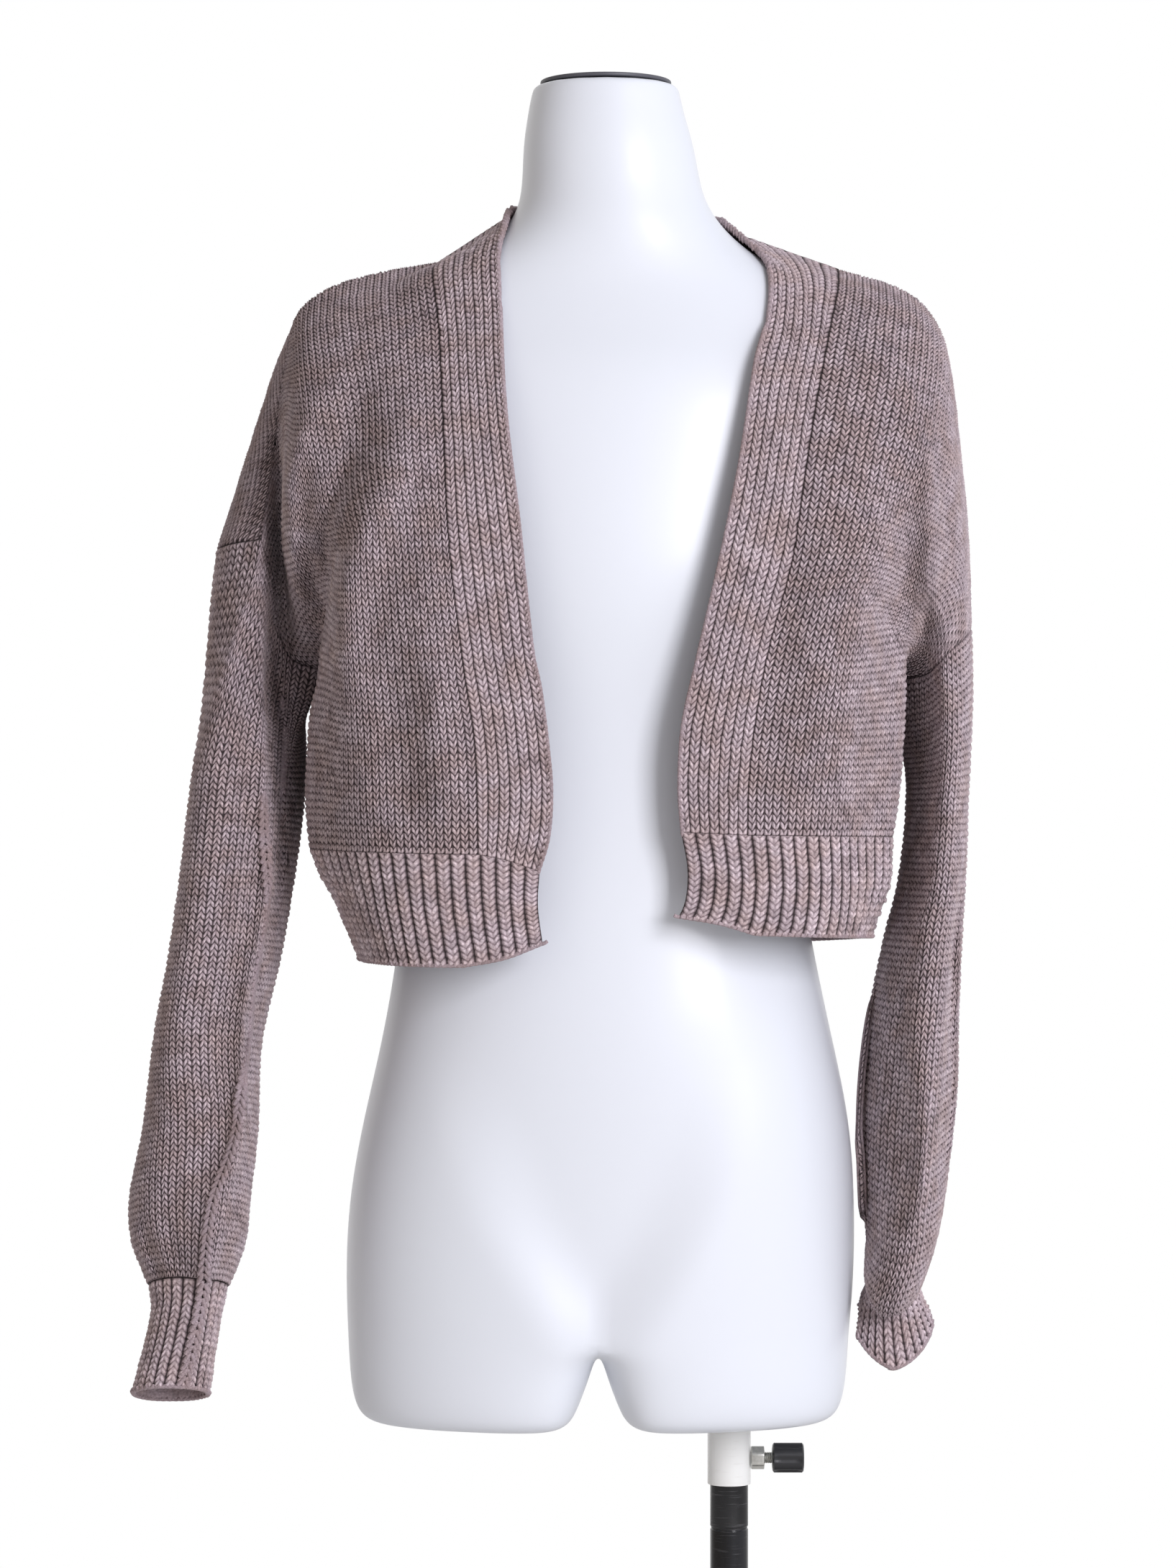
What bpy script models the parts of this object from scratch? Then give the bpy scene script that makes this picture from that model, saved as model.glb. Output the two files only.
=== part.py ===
"""Cropped open-front cardigan on a limbless dress form and its stand, in metres, +Z up.

The origin is the middle of the base's underside, on the pole's axis. Tables of the cloth and
of the form measure x from the form's middle line, y from its middle plane (front is -y) and z
from the floor.
"""

import math

import bmesh
import bpy
import numpy as np

# Cloth
WALL = 0.003
SEAM_GAP = 0.0003
EDGE_TRIM = 0.65
FORM_GAP = 0.0024
RIB_HEIGHT = 0.0016
BAND_RIB_HEIGHT = 0.0012
HEM_RIBS = {"front": 24, "back": 48}
CUFF_RIBS = 23
BAND_RIBS = 7

# Dress form and stand
PART_GAP = 0.0003
FORM_X = -0.085
FORM_BOTTOM = 0.710
NECK_TOP = 1.587
NECK_CAP_THICKNESS = 0.0025
NECK_CAP_INSET = 0.0010
NECK_CAP_BEVEL = 0.0010
NECK_CAP_SIDES = 24
POLE_RADIUS = 0.0125
POLE_TOP = 0.705
POLE_BEVEL = 0.001
POLE_SIDES = 24
COLLAR_OUTER = 0.0142
COLLAR_BOTTOM = 0.669
COLLAR_TOP = FORM_BOTTOM - PART_GAP
COLLAR_SIDES = 24
CLAMP_Z = 0.686
NUT_RADIUS = 0.0075
NUT_LENGTH = 0.0085
NUT_SIDES = 16
SMALL_BEVEL = 0.0008
SCREW_RADIUS = 0.0038
SCREW_LENGTH = 0.0128
SCREW_START = 0.0006
SCREW_CLEARANCE = 0.0004
SCREW_SIDES = 12
KNOB_RADIUS = 0.0097
KNOB_LENGTH = 0.0208
KNOB_FACETS = 10
KNOB_BEVEL = 0.0012
BASE_RADIUS = 0.200
BASE_THICKNESS = 0.010
BASE_BOSS_RADIUS = 0.030
BASE_BOSS_HEIGHT = 0.028
BASE_BEVEL = 0.003
BASE_SIDES = 44

# Dress form: height, middle, half width, depth to the front, depth to the back
FORM_SECTIONS = (
    (1.587, 0.004, 0.0420, 0.044, 0.044),
    (1.584, 0.004, 0.0445, 0.046, 0.046),
    (1.568, 0.004, 0.0475, 0.049, 0.049),
    (1.545, 0.006, 0.0530, 0.054, 0.054),
    (1.515, 0.008, 0.0585, 0.060, 0.060),
    (1.495, 0.010, 0.0680, 0.064, 0.066),
    (1.475, 0.009, 0.0900, 0.065, 0.071),
    (1.457, 0.007, 0.1300, 0.067, 0.077),
    (1.440, 0.005, 0.1610, 0.072, 0.081),
    (1.415, 0.004, 0.1800, 0.082, 0.091),
    (1.385, 0.003, 0.1850, 0.096, 0.097),
    (1.270, 0.001, 0.1490, 0.110, 0.088),
    (1.200, 0.000, 0.1290, 0.096, 0.080),
    (1.130, 0.000, 0.1200, 0.087, 0.078),
    (0.990, 0.005, 0.1400, 0.095, 0.095),
    (0.915, 0.005, 0.1590, 0.097, 0.107),
    (0.853, 0.001, 0.1665, 0.095, 0.110),
    (0.800, 0.000, 0.1665, 0.092, 0.104),
    (0.768, -0.001, 0.1640, 0.090, 0.098),
)
FORM_ROUNDNESS = 2.25
FORM_RING_POINTS = 16
CAGE_SWELL = 1.0195

# Thigh stubs: height, inset of the outline, half width of the gap between them
THIGH_SECTIONS = (
    (0.744, 0.001, 0.005),
    (0.722, 0.004, 0.013),
    (0.7115, 0.012, 0.019),
    (0.710, 0.030, 0.038),
)
CROTCH_HEIGHT = 0.762
STUB_INNER_EDGE = 0.006
STUB_INNER_DEPTH = 0.93

# Seams and edges of the left half in the front view: x, y, z from the hem up or from the neck out
LEFT = {
    "hem_edge": (
        (-0.036, -0.118, 1.027),
        (-0.039, -0.119, 1.052),
        (-0.038, -0.120, 1.073),
    ),
    "front_edge": (
        (-0.038, -0.120, 1.073),
        (-0.032, -0.122, 1.094),
        (-0.030, -0.124, 1.123),
        (-0.032, -0.125, 1.150),
        (-0.037, -0.126, 1.189),
        (-0.041, -0.126, 1.208),
        (-0.051, -0.124, 1.297),
        (-0.060, -0.110, 1.369),
        (-0.063, -0.084, 1.422),
        (-0.064, -0.055, 1.466),
        (-0.060, -0.030, 1.492),
        (-0.054, 0.006, 1.507),
    ),
    "band_line": (
        (-0.077, -0.123, 1.084),
        (-0.079, -0.125, 1.154),
        (-0.086, -0.126, 1.203),
        (-0.096, -0.122, 1.287),
        (-0.099, -0.107, 1.348),
        (-0.103, -0.078, 1.412),
        (-0.105, -0.048, 1.446),
        (-0.106, -0.002, 1.472),
    ),
    "shoulder": (
        (-0.106, -0.002, 1.472),
        (-0.150, -0.004, 1.464),
        (-0.177, -0.007, 1.455),
        (-0.197, -0.014, 1.439),
        (-0.206, -0.030, 1.398),
        (-0.212, -0.045, 1.345),
        (-0.218, -0.056, 1.287),
    ),
    "side": (
        (-0.187, 0.004, 1.087),
        (-0.190, 0.004, 1.112),
        (-0.187, 0.006, 1.160),
        (-0.184, 0.008, 1.203),
    ),
    "arm_front": (
        (-0.184, 0.008, 1.203),
        (-0.203, -0.002, 1.211),
        (-0.211, -0.012, 1.230),
        (-0.214, -0.031, 1.260),
        (-0.218, -0.056, 1.287),
    ),
    "arm_back": (
        (-0.184, 0.008, 1.203),
        (-0.188, 0.037, 1.220),
        (-0.204, 0.071, 1.245),
        (-0.232, 0.064, 1.259),
        (-0.247, 0.034, 1.275),
        (-0.252, -0.002, 1.281),
        (-0.243, -0.036, 1.284),
        (-0.218, -0.056, 1.287),
    ),
    "hem": (
        (-0.036, -0.118, 1.027),
        (-0.060, -0.121, 1.018),
        (-0.086, -0.120, 1.013),
    ),
    "rib_top": (
        (-0.038, -0.120, 1.073),
        (-0.058, -0.123, 1.080),
        (-0.077, -0.123, 1.084),
    ),
    "hem_side": (-0.158, 0.004, 1.014),
    "neck_back": (-0.040, 0.046, 1.512),
}

# The same of the right half
RIGHT = {
    "hem_edge": (
        (0.049, -0.117, 1.044),
        (0.053, -0.118, 1.053),
        (0.055, -0.118, 1.073),
        (0.051, -0.119, 1.098),
    ),
    "front_edge": (
        (0.051, -0.119, 1.098),
        (0.049, -0.120, 1.124),
        (0.051, -0.122, 1.164),
        (0.060, -0.123, 1.206),
        (0.074, -0.122, 1.266),
        (0.087, -0.115, 1.328),
        (0.099, -0.093, 1.399),
        (0.108, -0.064, 1.435),
        (0.104, -0.034, 1.469),
        (0.090, -0.012, 1.486),
        (0.075, 0.010, 1.497),
    ),
    "band_line": (
        (0.093, -0.119, 1.096),
        (0.094, -0.122, 1.134),
        (0.104, -0.123, 1.203),
        (0.121, -0.119, 1.270),
        (0.129, -0.113, 1.321),
        (0.137, -0.098, 1.368),
        (0.148, -0.066, 1.422),
        (0.155, -0.036, 1.452),
        (0.157, -0.003, 1.467),
    ),
    "shoulder": (
        (0.157, -0.003, 1.467),
        (0.193, 0.000, 1.457),
        (0.212, 0.003, 1.446),
        (0.226, 0.007, 1.426),
        (0.232, 0.012, 1.400),
        (0.236, 0.020, 1.357),
        (0.240, 0.026, 1.310),
        (0.243, 0.030, 1.232),
    ),
    "side": (
        (0.183, 0.002, 1.094),
        (0.187, 0.002, 1.117),
        (0.190, 0.002, 1.155),
        (0.191, 0.004, 1.196),
    ),
    "arm_front": (
        (0.191, 0.004, 1.196),
        (0.205, -0.036, 1.200),
        (0.220, -0.058, 1.211),
        (0.236, -0.042, 1.222),
        (0.244, -0.008, 1.230),
        (0.243, 0.030, 1.232),
    ),
    "arm_back": (
        (0.191, 0.004, 1.196),
        (0.197, 0.038, 1.211),
        (0.209, 0.068, 1.223),
        (0.226, 0.077, 1.229),
        (0.239, 0.058, 1.231),
        (0.243, 0.030, 1.232),
    ),
    "hem": (
        (0.049, -0.117, 1.044),
        (0.074, -0.120, 1.040),
        (0.098, -0.119, 1.033),
    ),
    "rib_top": (
        (0.051, -0.119, 1.098),
        (0.072, -0.120, 1.097),
        (0.093, -0.119, 1.096),
    ),
    "hem_side": (0.178, 0.002, 1.028),
    "neck_back": (0.053, 0.046, 1.503),
}

# Back edges: depth of the hem, of the rib's top and of the neckline
BACK_HEM = (0.015, 0.098, 1.018)
BACK_RIB_TOP = (0.002, 0.106, 1.086)
BACK_NECKLINE = ((-0.078, 0.046, 1.470), (0.012, 0.078, 1.462), (0.118, 0.044, 1.462))
BACK_NECK_MIDDLE = (0.009, 0.064, 1.512)
SECTION_ROUNDNESS = 2.5

# Sleeves: height, middle x, middle y, half width, half depth, turn, tilt of each ring
LEFT_SLEEVE = (
    (1.245, -0.2220, 0.006, 0.028, 0.068, -12, 0),
    (1.200, -0.2270, 0.004, 0.029, 0.073, -15, 0),
    (1.140, -0.2295, 0.001, 0.030, 0.075, -16, 0),
    (1.090, -0.2345, -0.003, 0.031, 0.072, -16, 2),
    (1.020, -0.2445, -0.009, 0.032, 0.068, -14, 4),
    (0.960, -0.2560, -0.016, 0.033, 0.064, -10, 7),
    (0.905, -0.2600, -0.023, 0.037, 0.060, -5, 10),
    (0.858, -0.2665, -0.031, 0.0395, 0.054, 0, 13),
    (0.832, -0.2670, -0.036, 0.0375, 0.047, 0, 15),
    (0.814, -0.2665, -0.040, 0.0310, 0.036, 0, 16),
    (0.804, -0.2665, -0.042, 0.0265, 0.030, 0, 16),
)
LEFT_CUFF = (
    (0.8035, -0.2665, -0.042, 0.0260, 0.0295, 0, 16),
    (0.790, -0.2670, -0.045, 0.0235, 0.028, 0, 16),
    (0.770, -0.2700, -0.051, 0.0235, 0.028, 0, 16),
    (0.736, -0.2765, -0.060, 0.0255, 0.030, 0, 16),
)
RIGHT_SLEEVE = (
    (1.213, 0.2220, 0.018, 0.0190, 0.074, 0, 0),
    (1.160, 0.2240, 0.018, 0.0190, 0.077, 0, 0),
    (1.100, 0.2220, 0.016, 0.0205, 0.077, 0, 0),
    (1.060, 0.2185, 0.014, 0.0225, 0.074, 0, 0),
    (1.030, 0.2135, 0.011, 0.0255, 0.072, 0, 0),
    (0.980, 0.2070, 0.006, 0.0295, 0.067, 0, -3),
    (0.925, 0.2025, 0.000, 0.0322, 0.063, 0, -7),
    (0.875, 0.1985, -0.006, 0.0298, 0.058, 0, -13),
    (0.838, 0.1980, -0.010, 0.0240, 0.052, 4, -22),
    (0.815, 0.1940, -0.014, 0.0208, 0.045, 10, -36),
    (0.806, 0.1925, -0.012, 0.0182, 0.037, 10, -42),
    (0.8035, 0.1915, -0.006, 0.0172, 0.027, 8, -32),
)
RIGHT_CUFF = (
    (0.8030, 0.1915, -0.006, 0.0166, 0.0264, 8, -32),
    (0.791, 0.1915, -0.006, 0.0205, 0.031, 5, -37),
    (0.776, 0.1920, -0.008, 0.0268, 0.040, 2, -42),
)
CUFF_ROUNDNESS = {"left": 2.2, "right": 1.6}
SLEEVE_BLEND = 0.26

# Folds: width, the cloth's move along x and y on the fold's line, then the line's x, y, z
FOLDS = {
    "left_chest_fold": (
        0.013, (0.0045, 0.0080),
        ((-0.146, -0.050, 1.420), (-0.158, -0.085, 1.355), (-0.174, -0.080, 1.310),
         (-0.184, -0.055, 1.255), (-0.188, -0.030, 1.215)),
    ),
    "left_arm_valley": (
        0.012, (0.0020, 0.0140),
        ((-0.204, -0.036, 1.375), (-0.206, -0.042, 1.320), (-0.208, -0.036, 1.270),
         (-0.208, -0.044, 1.200), (-0.210, -0.048, 1.165)),
    ),
    "left_chest_lobe": (
        0.012, (-0.0040, -0.0050),
        ((-0.180, -0.050, 1.405), (-0.190, -0.062, 1.330), (-0.196, -0.040, 1.260)),
    ),
    "left_side_swell": (
        0.026, (-0.0050, -0.0020),
        ((-0.180, -0.046, 1.200), (-0.184, -0.046, 1.150), (-0.182, -0.046, 1.090),
         (-0.168, -0.046, 1.050)),
    ),
    "left_front_swell": (
        0.030, (0.0, -0.0060),
        ((-0.110, -0.124, 1.290), (-0.118, -0.126, 1.200), (-0.125, -0.122, 1.120)),
    ),
    "left_sleeve_ridge": (
        0.008, (0.0020, -0.0035),
        ((-0.214, -0.066, 1.100), (-0.216, -0.074, 1.050), (-0.226, -0.078, 0.985),
         (-0.236, -0.082, 0.900), (-0.250, -0.086, 0.850), (-0.255, -0.082, 0.805)),
    ),
    "left_sleeve_bend": (
        0.020, (0.0, 0.0060),
        ((-0.268, -0.052, 0.930), (-0.252, -0.072, 0.880), (-0.238, -0.070, 0.850)),
    ),
    "right_side_swell": (
        0.026, (0.0105, -0.0040),
        ((0.190, -0.046, 1.300), (0.190, -0.046, 1.200), (0.186, -0.046, 1.140),
         (0.180, -0.046, 1.080), (0.176, -0.046, 1.030)),
    ),
    "right_side_valley": (
        0.013, (-0.0040, 0.0110),
        ((0.196, -0.050, 1.410), (0.205, -0.062, 1.350), (0.210, -0.056, 1.290),
         (0.210, -0.050, 1.240), (0.206, -0.040, 1.205)),
    ),
    "right_front_swell": (
        0.030, (0.0, -0.0060),
        ((0.150, -0.110, 1.300), (0.152, -0.112, 1.210), (0.148, -0.110, 1.130)),
    ),
    "right_sleeve_inner": (
        0.013, (0.0040, 0.0100),
        ((0.190, -0.044, 1.060), (0.190, -0.052, 0.980), (0.192, -0.054, 0.900),
         (0.190, -0.054, 0.850)),
    ),
    "right_sleeve_outer": (
        0.011, (-0.0030, 0.0075),
        ((0.236, -0.030, 1.080), (0.232, -0.036, 1.000), (0.228, -0.040, 0.920),
         (0.222, -0.042, 0.860)),
    ),
    "back_left_fold": (
        0.022, (0.0, -0.0080),
        ((-0.150, 0.080, 1.390), (-0.158, 0.088, 1.300), (-0.164, 0.080, 1.200)),
    ),
    "back_right_fold": (
        0.022, (0.0, -0.0080),
        ((0.165, 0.080, 1.380), (0.172, 0.088, 1.290), (0.176, 0.080, 1.190)),
    ),
}

# A fold fades over this share of its line, down to this pull at its ends
FOLD_FADE = 0.2
FOLD_END_PULL = 0.15

# How the cloth's surfaces are worked out and joined
LATTICE = 96
RELAX_ROUNDS = 5
LARGEST_PUSH = 0.02
ROW_CLOSING = 1.35
ARMHOLE_DROP = 0.25
SPLIT_DIRECTION = (1.0, 2.0, 3.0)


def smooth_curve(rows, steps=24):
    """Dense points of a smooth curve through the rows."""
    rows = np.asarray(rows, float)
    if len(rows) == 2:
        share = np.linspace(0.0, 1.0, steps + 1)[:, None]
        return rows[0] * (1.0 - share) + rows[1] * share
    chord = np.linalg.norm(np.diff(rows[:, :3], axis=0), axis=1)
    knot = np.concatenate([[0.0], np.cumsum(np.sqrt(np.maximum(chord, 1e-9)))])
    slope = np.gradient(rows, knot, axis=0)
    pieces = []
    for i in range(len(rows) - 1):
        span = knot[i + 1] - knot[i]
        share = np.linspace(0.0, 1.0, steps, endpoint=False)[:, None]
        pieces.append(
            rows[i] * (2 * share**3 - 3 * share**2 + 1)
            + slope[i] * span * (share**3 - 2 * share**2 + share)
            + rows[i + 1] * (3 * share**2 - 2 * share**3)
            + slope[i + 1] * span * (share**3 - share**2)
        )
    pieces.append(rows[-1:])
    return np.vstack(pieces)


def by_length(points):
    """A curve read by its share of length: the shares and the points."""
    step = np.linalg.norm(np.diff(points, axis=0), axis=1)
    length = np.concatenate([[0.0], np.cumsum(step)])
    return length / length[-1], points


def curve(rows):
    return by_length(smooth_curve(rows))


def read(line, share):
    """Points of a curve at the given shares of its length."""
    return np.stack([np.interp(share, line[0], line[1][:, k]) for k in range(3)], axis=-1)


def join(*lines):
    """One curve from curves that follow each other."""
    points = [lines[0][1]] + [line[1][1:] for line in lines[1:]]
    return by_length(np.vstack(points))


def reverse(line):
    return 1.0 - line[0][::-1], line[1][::-1]


def length_of(line):
    return float(np.linalg.norm(np.diff(line[1], axis=0), axis=1).sum())


def quarter_round(start, end, steps=32):
    """A rounded section from the front or back (start) to the side (end)."""
    angle = np.linspace(0.0, math.pi / 2, steps + 1)
    across = np.sin(angle) ** (2.0 / SECTION_ROUNDNESS)
    depth = 1.0 - np.cos(angle) ** (2.0 / SECTION_ROUNDNESS)
    share = angle / angle[-1]
    start = np.asarray(start)
    end = np.asarray(end)
    weights = np.stack([across, depth, share], axis=-1)
    return by_length(start + (end - start) * weights)


def unit(vectors):
    size = np.linalg.norm(vectors, axis=-1, keepdims=True)
    return vectors / np.maximum(size, 1e-12)


def subdivided(rows):
    """The rows as one level of Subdivision Surface leaves them."""
    rows = np.asarray(rows, float)
    halfway = (rows[1:] + rows[:-1]) / 2
    kept = rows.copy()
    kept[1:-1] = rows[1:-1] * 0.75 + (rows[:-2] + rows[2:]) * 0.125
    return np.vstack([np.column_stack([kept[:-1], halfway]).reshape(-1, 5), kept[-1:]])


FORM_CURVE = subdivided(FORM_SECTIONS)


def form_level(points):
    """How far the points lie from the form's surface, about, in metres."""
    sections = FORM_CURVE[::-1]

    def level(p):
        middle, half, front, back = (
            np.interp(p[:, 2], sections[:, 0], sections[:, k]) for k in range(1, 5)
        )
        across = np.abs(p[:, 0] - middle) / half
        deep = np.abs(p[:, 1]) / np.where(p[:, 1] < 0, front, back)
        return (across**FORM_ROUNDNESS + deep**FORM_ROUNDNESS) ** (1 / FORM_ROUNDNESS) - 1.0

    here = level(points)
    step = 1e-4
    slope = np.stack(
        [(level(points + step * axis) - here) / step for axis in np.eye(3)], axis=-1
    )
    size = np.linalg.norm(slope, axis=-1)
    return here / np.maximum(size, 1e-6), slope / np.maximum(size, 1e-6)[:, None]


def clear_of_form(points, distance):
    """Move the points that are too near the form out along its surface's direction."""
    flat = points.reshape(-1, 3).copy()
    for _ in range(4):
        gap, out = form_level(flat)
        short = np.maximum(distance - gap, 0.0)
        short[flat[:, 2] > NECK_TOP] = 0.0
        flat += out * np.minimum(short, LARGEST_PUSH)[:, None]
    return flat.reshape(points.shape)


def folded(points):
    """The points moved by the folds near them."""
    moved = points.copy()
    for width, (move_x, move_y), rows in FOLDS.values():
        line = smooth_curve(rows, 6)
        distance = np.linalg.norm(points[..., None, :] - line, axis=-1)
        share = distance.argmin(axis=-1) / (len(line) - 1)
        fade = np.clip(np.minimum(share, 1 - share) / FOLD_FADE, 0, 1)
        fade = FOLD_END_PULL + (1 - FOLD_END_PULL) * fade * fade * (3 - 2 * fade)
        pull = fade * np.exp(-((distance.min(axis=-1) / width) ** 2))
        moved[..., 0] += move_x * pull
        moved[..., 1] += move_y * pull
    return moved


def nodes(*marks):
    """Shares from 0 to 1 for a surface's lattice, with a node on each mark."""
    stops = [0.0, *marks, 1.0]
    spans = []
    for low, high in zip(stops, stops[1:]):
        steps = max(2, round((high - low) * LATTICE))
        spans.append(np.linspace(low, high, steps, endpoint=False))
    return np.concatenate([*spans, [1.0]])


class Surface:
    """A lattice of points of the cloth's outer face, read at shares across and along."""

    def __init__(self, points, s, t, outward, around=False):
        self.around = around
        self.outward = outward
        self.points = points
        self.s = s
        self.t = t
        self.out = self.directions()

    def directions(self):
        points = self.points
        if self.around:
            ring = points[:, :-1]
            across = np.roll(ring, -1, axis=1) - np.roll(ring, 1, axis=1)
            across = np.concatenate([across, across[:, :1]], axis=1)
        else:
            across = np.gradient(points, axis=1)
        along = np.gradient(points, axis=0)
        return unit(np.cross(across, along)) * self.outward

    def relax(self):
        """Even the lattice out, with its edges kept."""
        points = self.points
        if self.around:
            ring = points[:, :-1]
            beside = (np.roll(ring, 1, axis=1) + np.roll(ring, -1, axis=1)) / 2
            beside = np.concatenate([beside, beside[:, :1]], axis=1)[1:-1]
            points[1:-1] = points[1:-1] / 2 + (beside + (points[:-2] + points[2:]) / 2) / 4
        else:
            near = points[1:-1, :-2] + points[1:-1, 2:] + points[:-2, 1:-1] + points[2:, 1:-1]
            points[1:-1, 1:-1] = points[1:-1, 1:-1] / 2 + near / 8

    def shape(self, distance):
        """Press the folds in and keep the cloth clear of the form."""
        self.points = clear_of_form(folded(self.points), distance)
        for _ in range(RELAX_ROUNDS):
            self.relax()
            self.points = clear_of_form(self.points, distance)
        self.out = self.directions()

    def read(self, s, t):
        """Points and directions at shares s (along) and t (across), as a grid."""
        r0 = np.clip(np.searchsorted(self.s, s, "right") - 1, 0, len(self.s) - 2)
        c0 = np.clip(np.searchsorted(self.t, t, "right") - 1, 0, len(self.t) - 2)
        fr = ((s - self.s[r0]) / (self.s[r0 + 1] - self.s[r0]))[:, None, None]
        fc = ((t - self.t[c0]) / (self.t[c0 + 1] - self.t[c0]))[None, :, None]

        def mix(field):
            low = field[np.ix_(r0, c0)] * (1 - fc) + field[np.ix_(r0, c0 + 1)] * fc
            high = field[np.ix_(r0 + 1, c0)] * (1 - fc) + field[np.ix_(r0 + 1, c0 + 1)] * fc
            return low * (1 - fr) + high * fr

        return mix(self.points), unit(mix(self.out))


def patch(near, far, low, high, across, rise, outward, s=None, t=None):
    """A surface between four edge curves.

    It runs from low to high, and the near and far edges draw it to them. across gives each
    axis the two edges' pull, and rise the share of high in it.
    """
    s = nodes() if s is None else s
    t = nodes() if t is None else t
    near_p, far_p = read(near, s), read(far, s)
    low_p, high_p = read(low, t), read(high, t)
    points = np.zeros((len(s), len(t), 3))
    for k in range(3):
        near_pull, far_pull = across[k](t)
        a = rise[k](s)[:, None]
        run = low_p[None, :, k] * (1 - a) + high_p[None, :, k] * a
        for edge, pull, corner in ((near_p, near_pull, 0), (far_p, far_pull, -1)):
            chord = low_p[corner, k] * (1 - a[:, 0]) + high_p[corner, k] * a[:, 0]
            run = run + (edge[:, k] - chord)[:, None] * pull[None, :]
        points[..., k] = run
    return Surface(points, s, t, outward)


def even(share):
    return share


def late(share):
    return share**3.0


def later(share):
    return share**4.0


def ruled(share):
    return 1.0 - share, share


def rounded_x(share):
    far = np.sin(share * math.pi / 2) ** (2.0 / SECTION_ROUNDNESS)
    return 1.0 - far, far


def rounded_y(share):
    near = np.cos(share * math.pi / 2) ** (2.0 / SECTION_ROUNDNESS)
    return near, 1.0 - near


def edges_only(share):
    return (1.0 - share) ** 6, share**6


def edges_mostly(share):
    return (1.0 - share) ** 3, share**3


def sleeve_ring(row, inner, roundness, t):
    """One ring of a sleeve, from the side next to the body over the front and round."""
    height, middle_x, middle_y, half_x, half_y, turn, tilt = row
    angle = np.linspace(0.0, 2 * math.pi, 97)
    c, s = np.cos(angle), np.sin(angle)
    x = inner * half_x * np.copysign(np.abs(c) ** (2 / roundness), c)
    y = -half_y * np.copysign(np.abs(s) ** (2 / roundness), s)
    turned_by = math.radians(turn) * inner
    px = x * math.cos(turned_by) - y * math.sin(turned_by)
    py = x * math.sin(turned_by) + y * math.cos(turned_by)
    lift = math.radians(tilt)
    ring = np.stack([px, py * math.cos(lift), -py * math.sin(lift)], axis=-1)
    return read(by_length(ring), t) + (middle_x, middle_y, height)


def tube(rows, inner, armhole=None, t=None, end_roundness=2.0):
    """A surface through the rings of a table. It may start from an armhole's curve."""
    t = nodes() if t is None else t
    rows = smooth_curve(rows, 16)
    roundness = np.linspace(2.0, end_roundness, len(rows))
    rings = np.array([
        sleeve_ring(row, inner, own, t) for row, own in zip(rows, roundness)
    ])
    travel = np.linalg.norm(np.diff(rings, axis=0), axis=2).mean(axis=1)
    length = np.concatenate([[0.0], np.cumsum(travel)])
    s = nodes()
    flat = rings.reshape(len(rings), -1)
    even_rows = [np.interp(s, length / length[-1], column) for column in flat.T]
    points = np.stack(even_rows, axis=1).reshape(len(s), len(t), 3)
    if armhole is not None:
        loop = read(armhole, t)
        middle = loop[:-1].mean(axis=0)
        start = points[0, :-1].mean(axis=0)
        for i, share in enumerate(s):
            x = min(share / SLEEVE_BLEND, 1.0)
            own = x * x * (3 - 2 * x)
            shifted = loop - middle + points[i, :-1].mean(axis=0)
            shifted = shifted + (middle - start) * (1 - own)
            points[i] = shifted * (1 - own) + points[i] * own
    return Surface(points, s, t, inner, around=True)


def rib_profile(count, columns=2):
    """Shares across and heights of raised ribs, a crest and a valley for each rib."""
    shares = np.linspace(0.0, 1.0, count * columns + 1)
    heights = np.array([0.0, 1.0] * count + [0.0])
    return shares, heights


def drawn_in(edge, inside, out, around):
    """Moves of half a seam's gap from an edge towards the points inside it."""
    if around:
        ring = edge[:-1]
        along = np.roll(ring, -1, axis=0) - np.roll(ring, 1, axis=0)
        along = np.vstack([along, along[:1]])
    else:
        along = np.gradient(edge, axis=0)
    move = unit(np.cross(along, out)) * SEAM_GAP * EDGE_TRIM
    side = np.sign(((inside - edge) * move).sum(axis=-1, keepdims=True))
    return move * side


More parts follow.
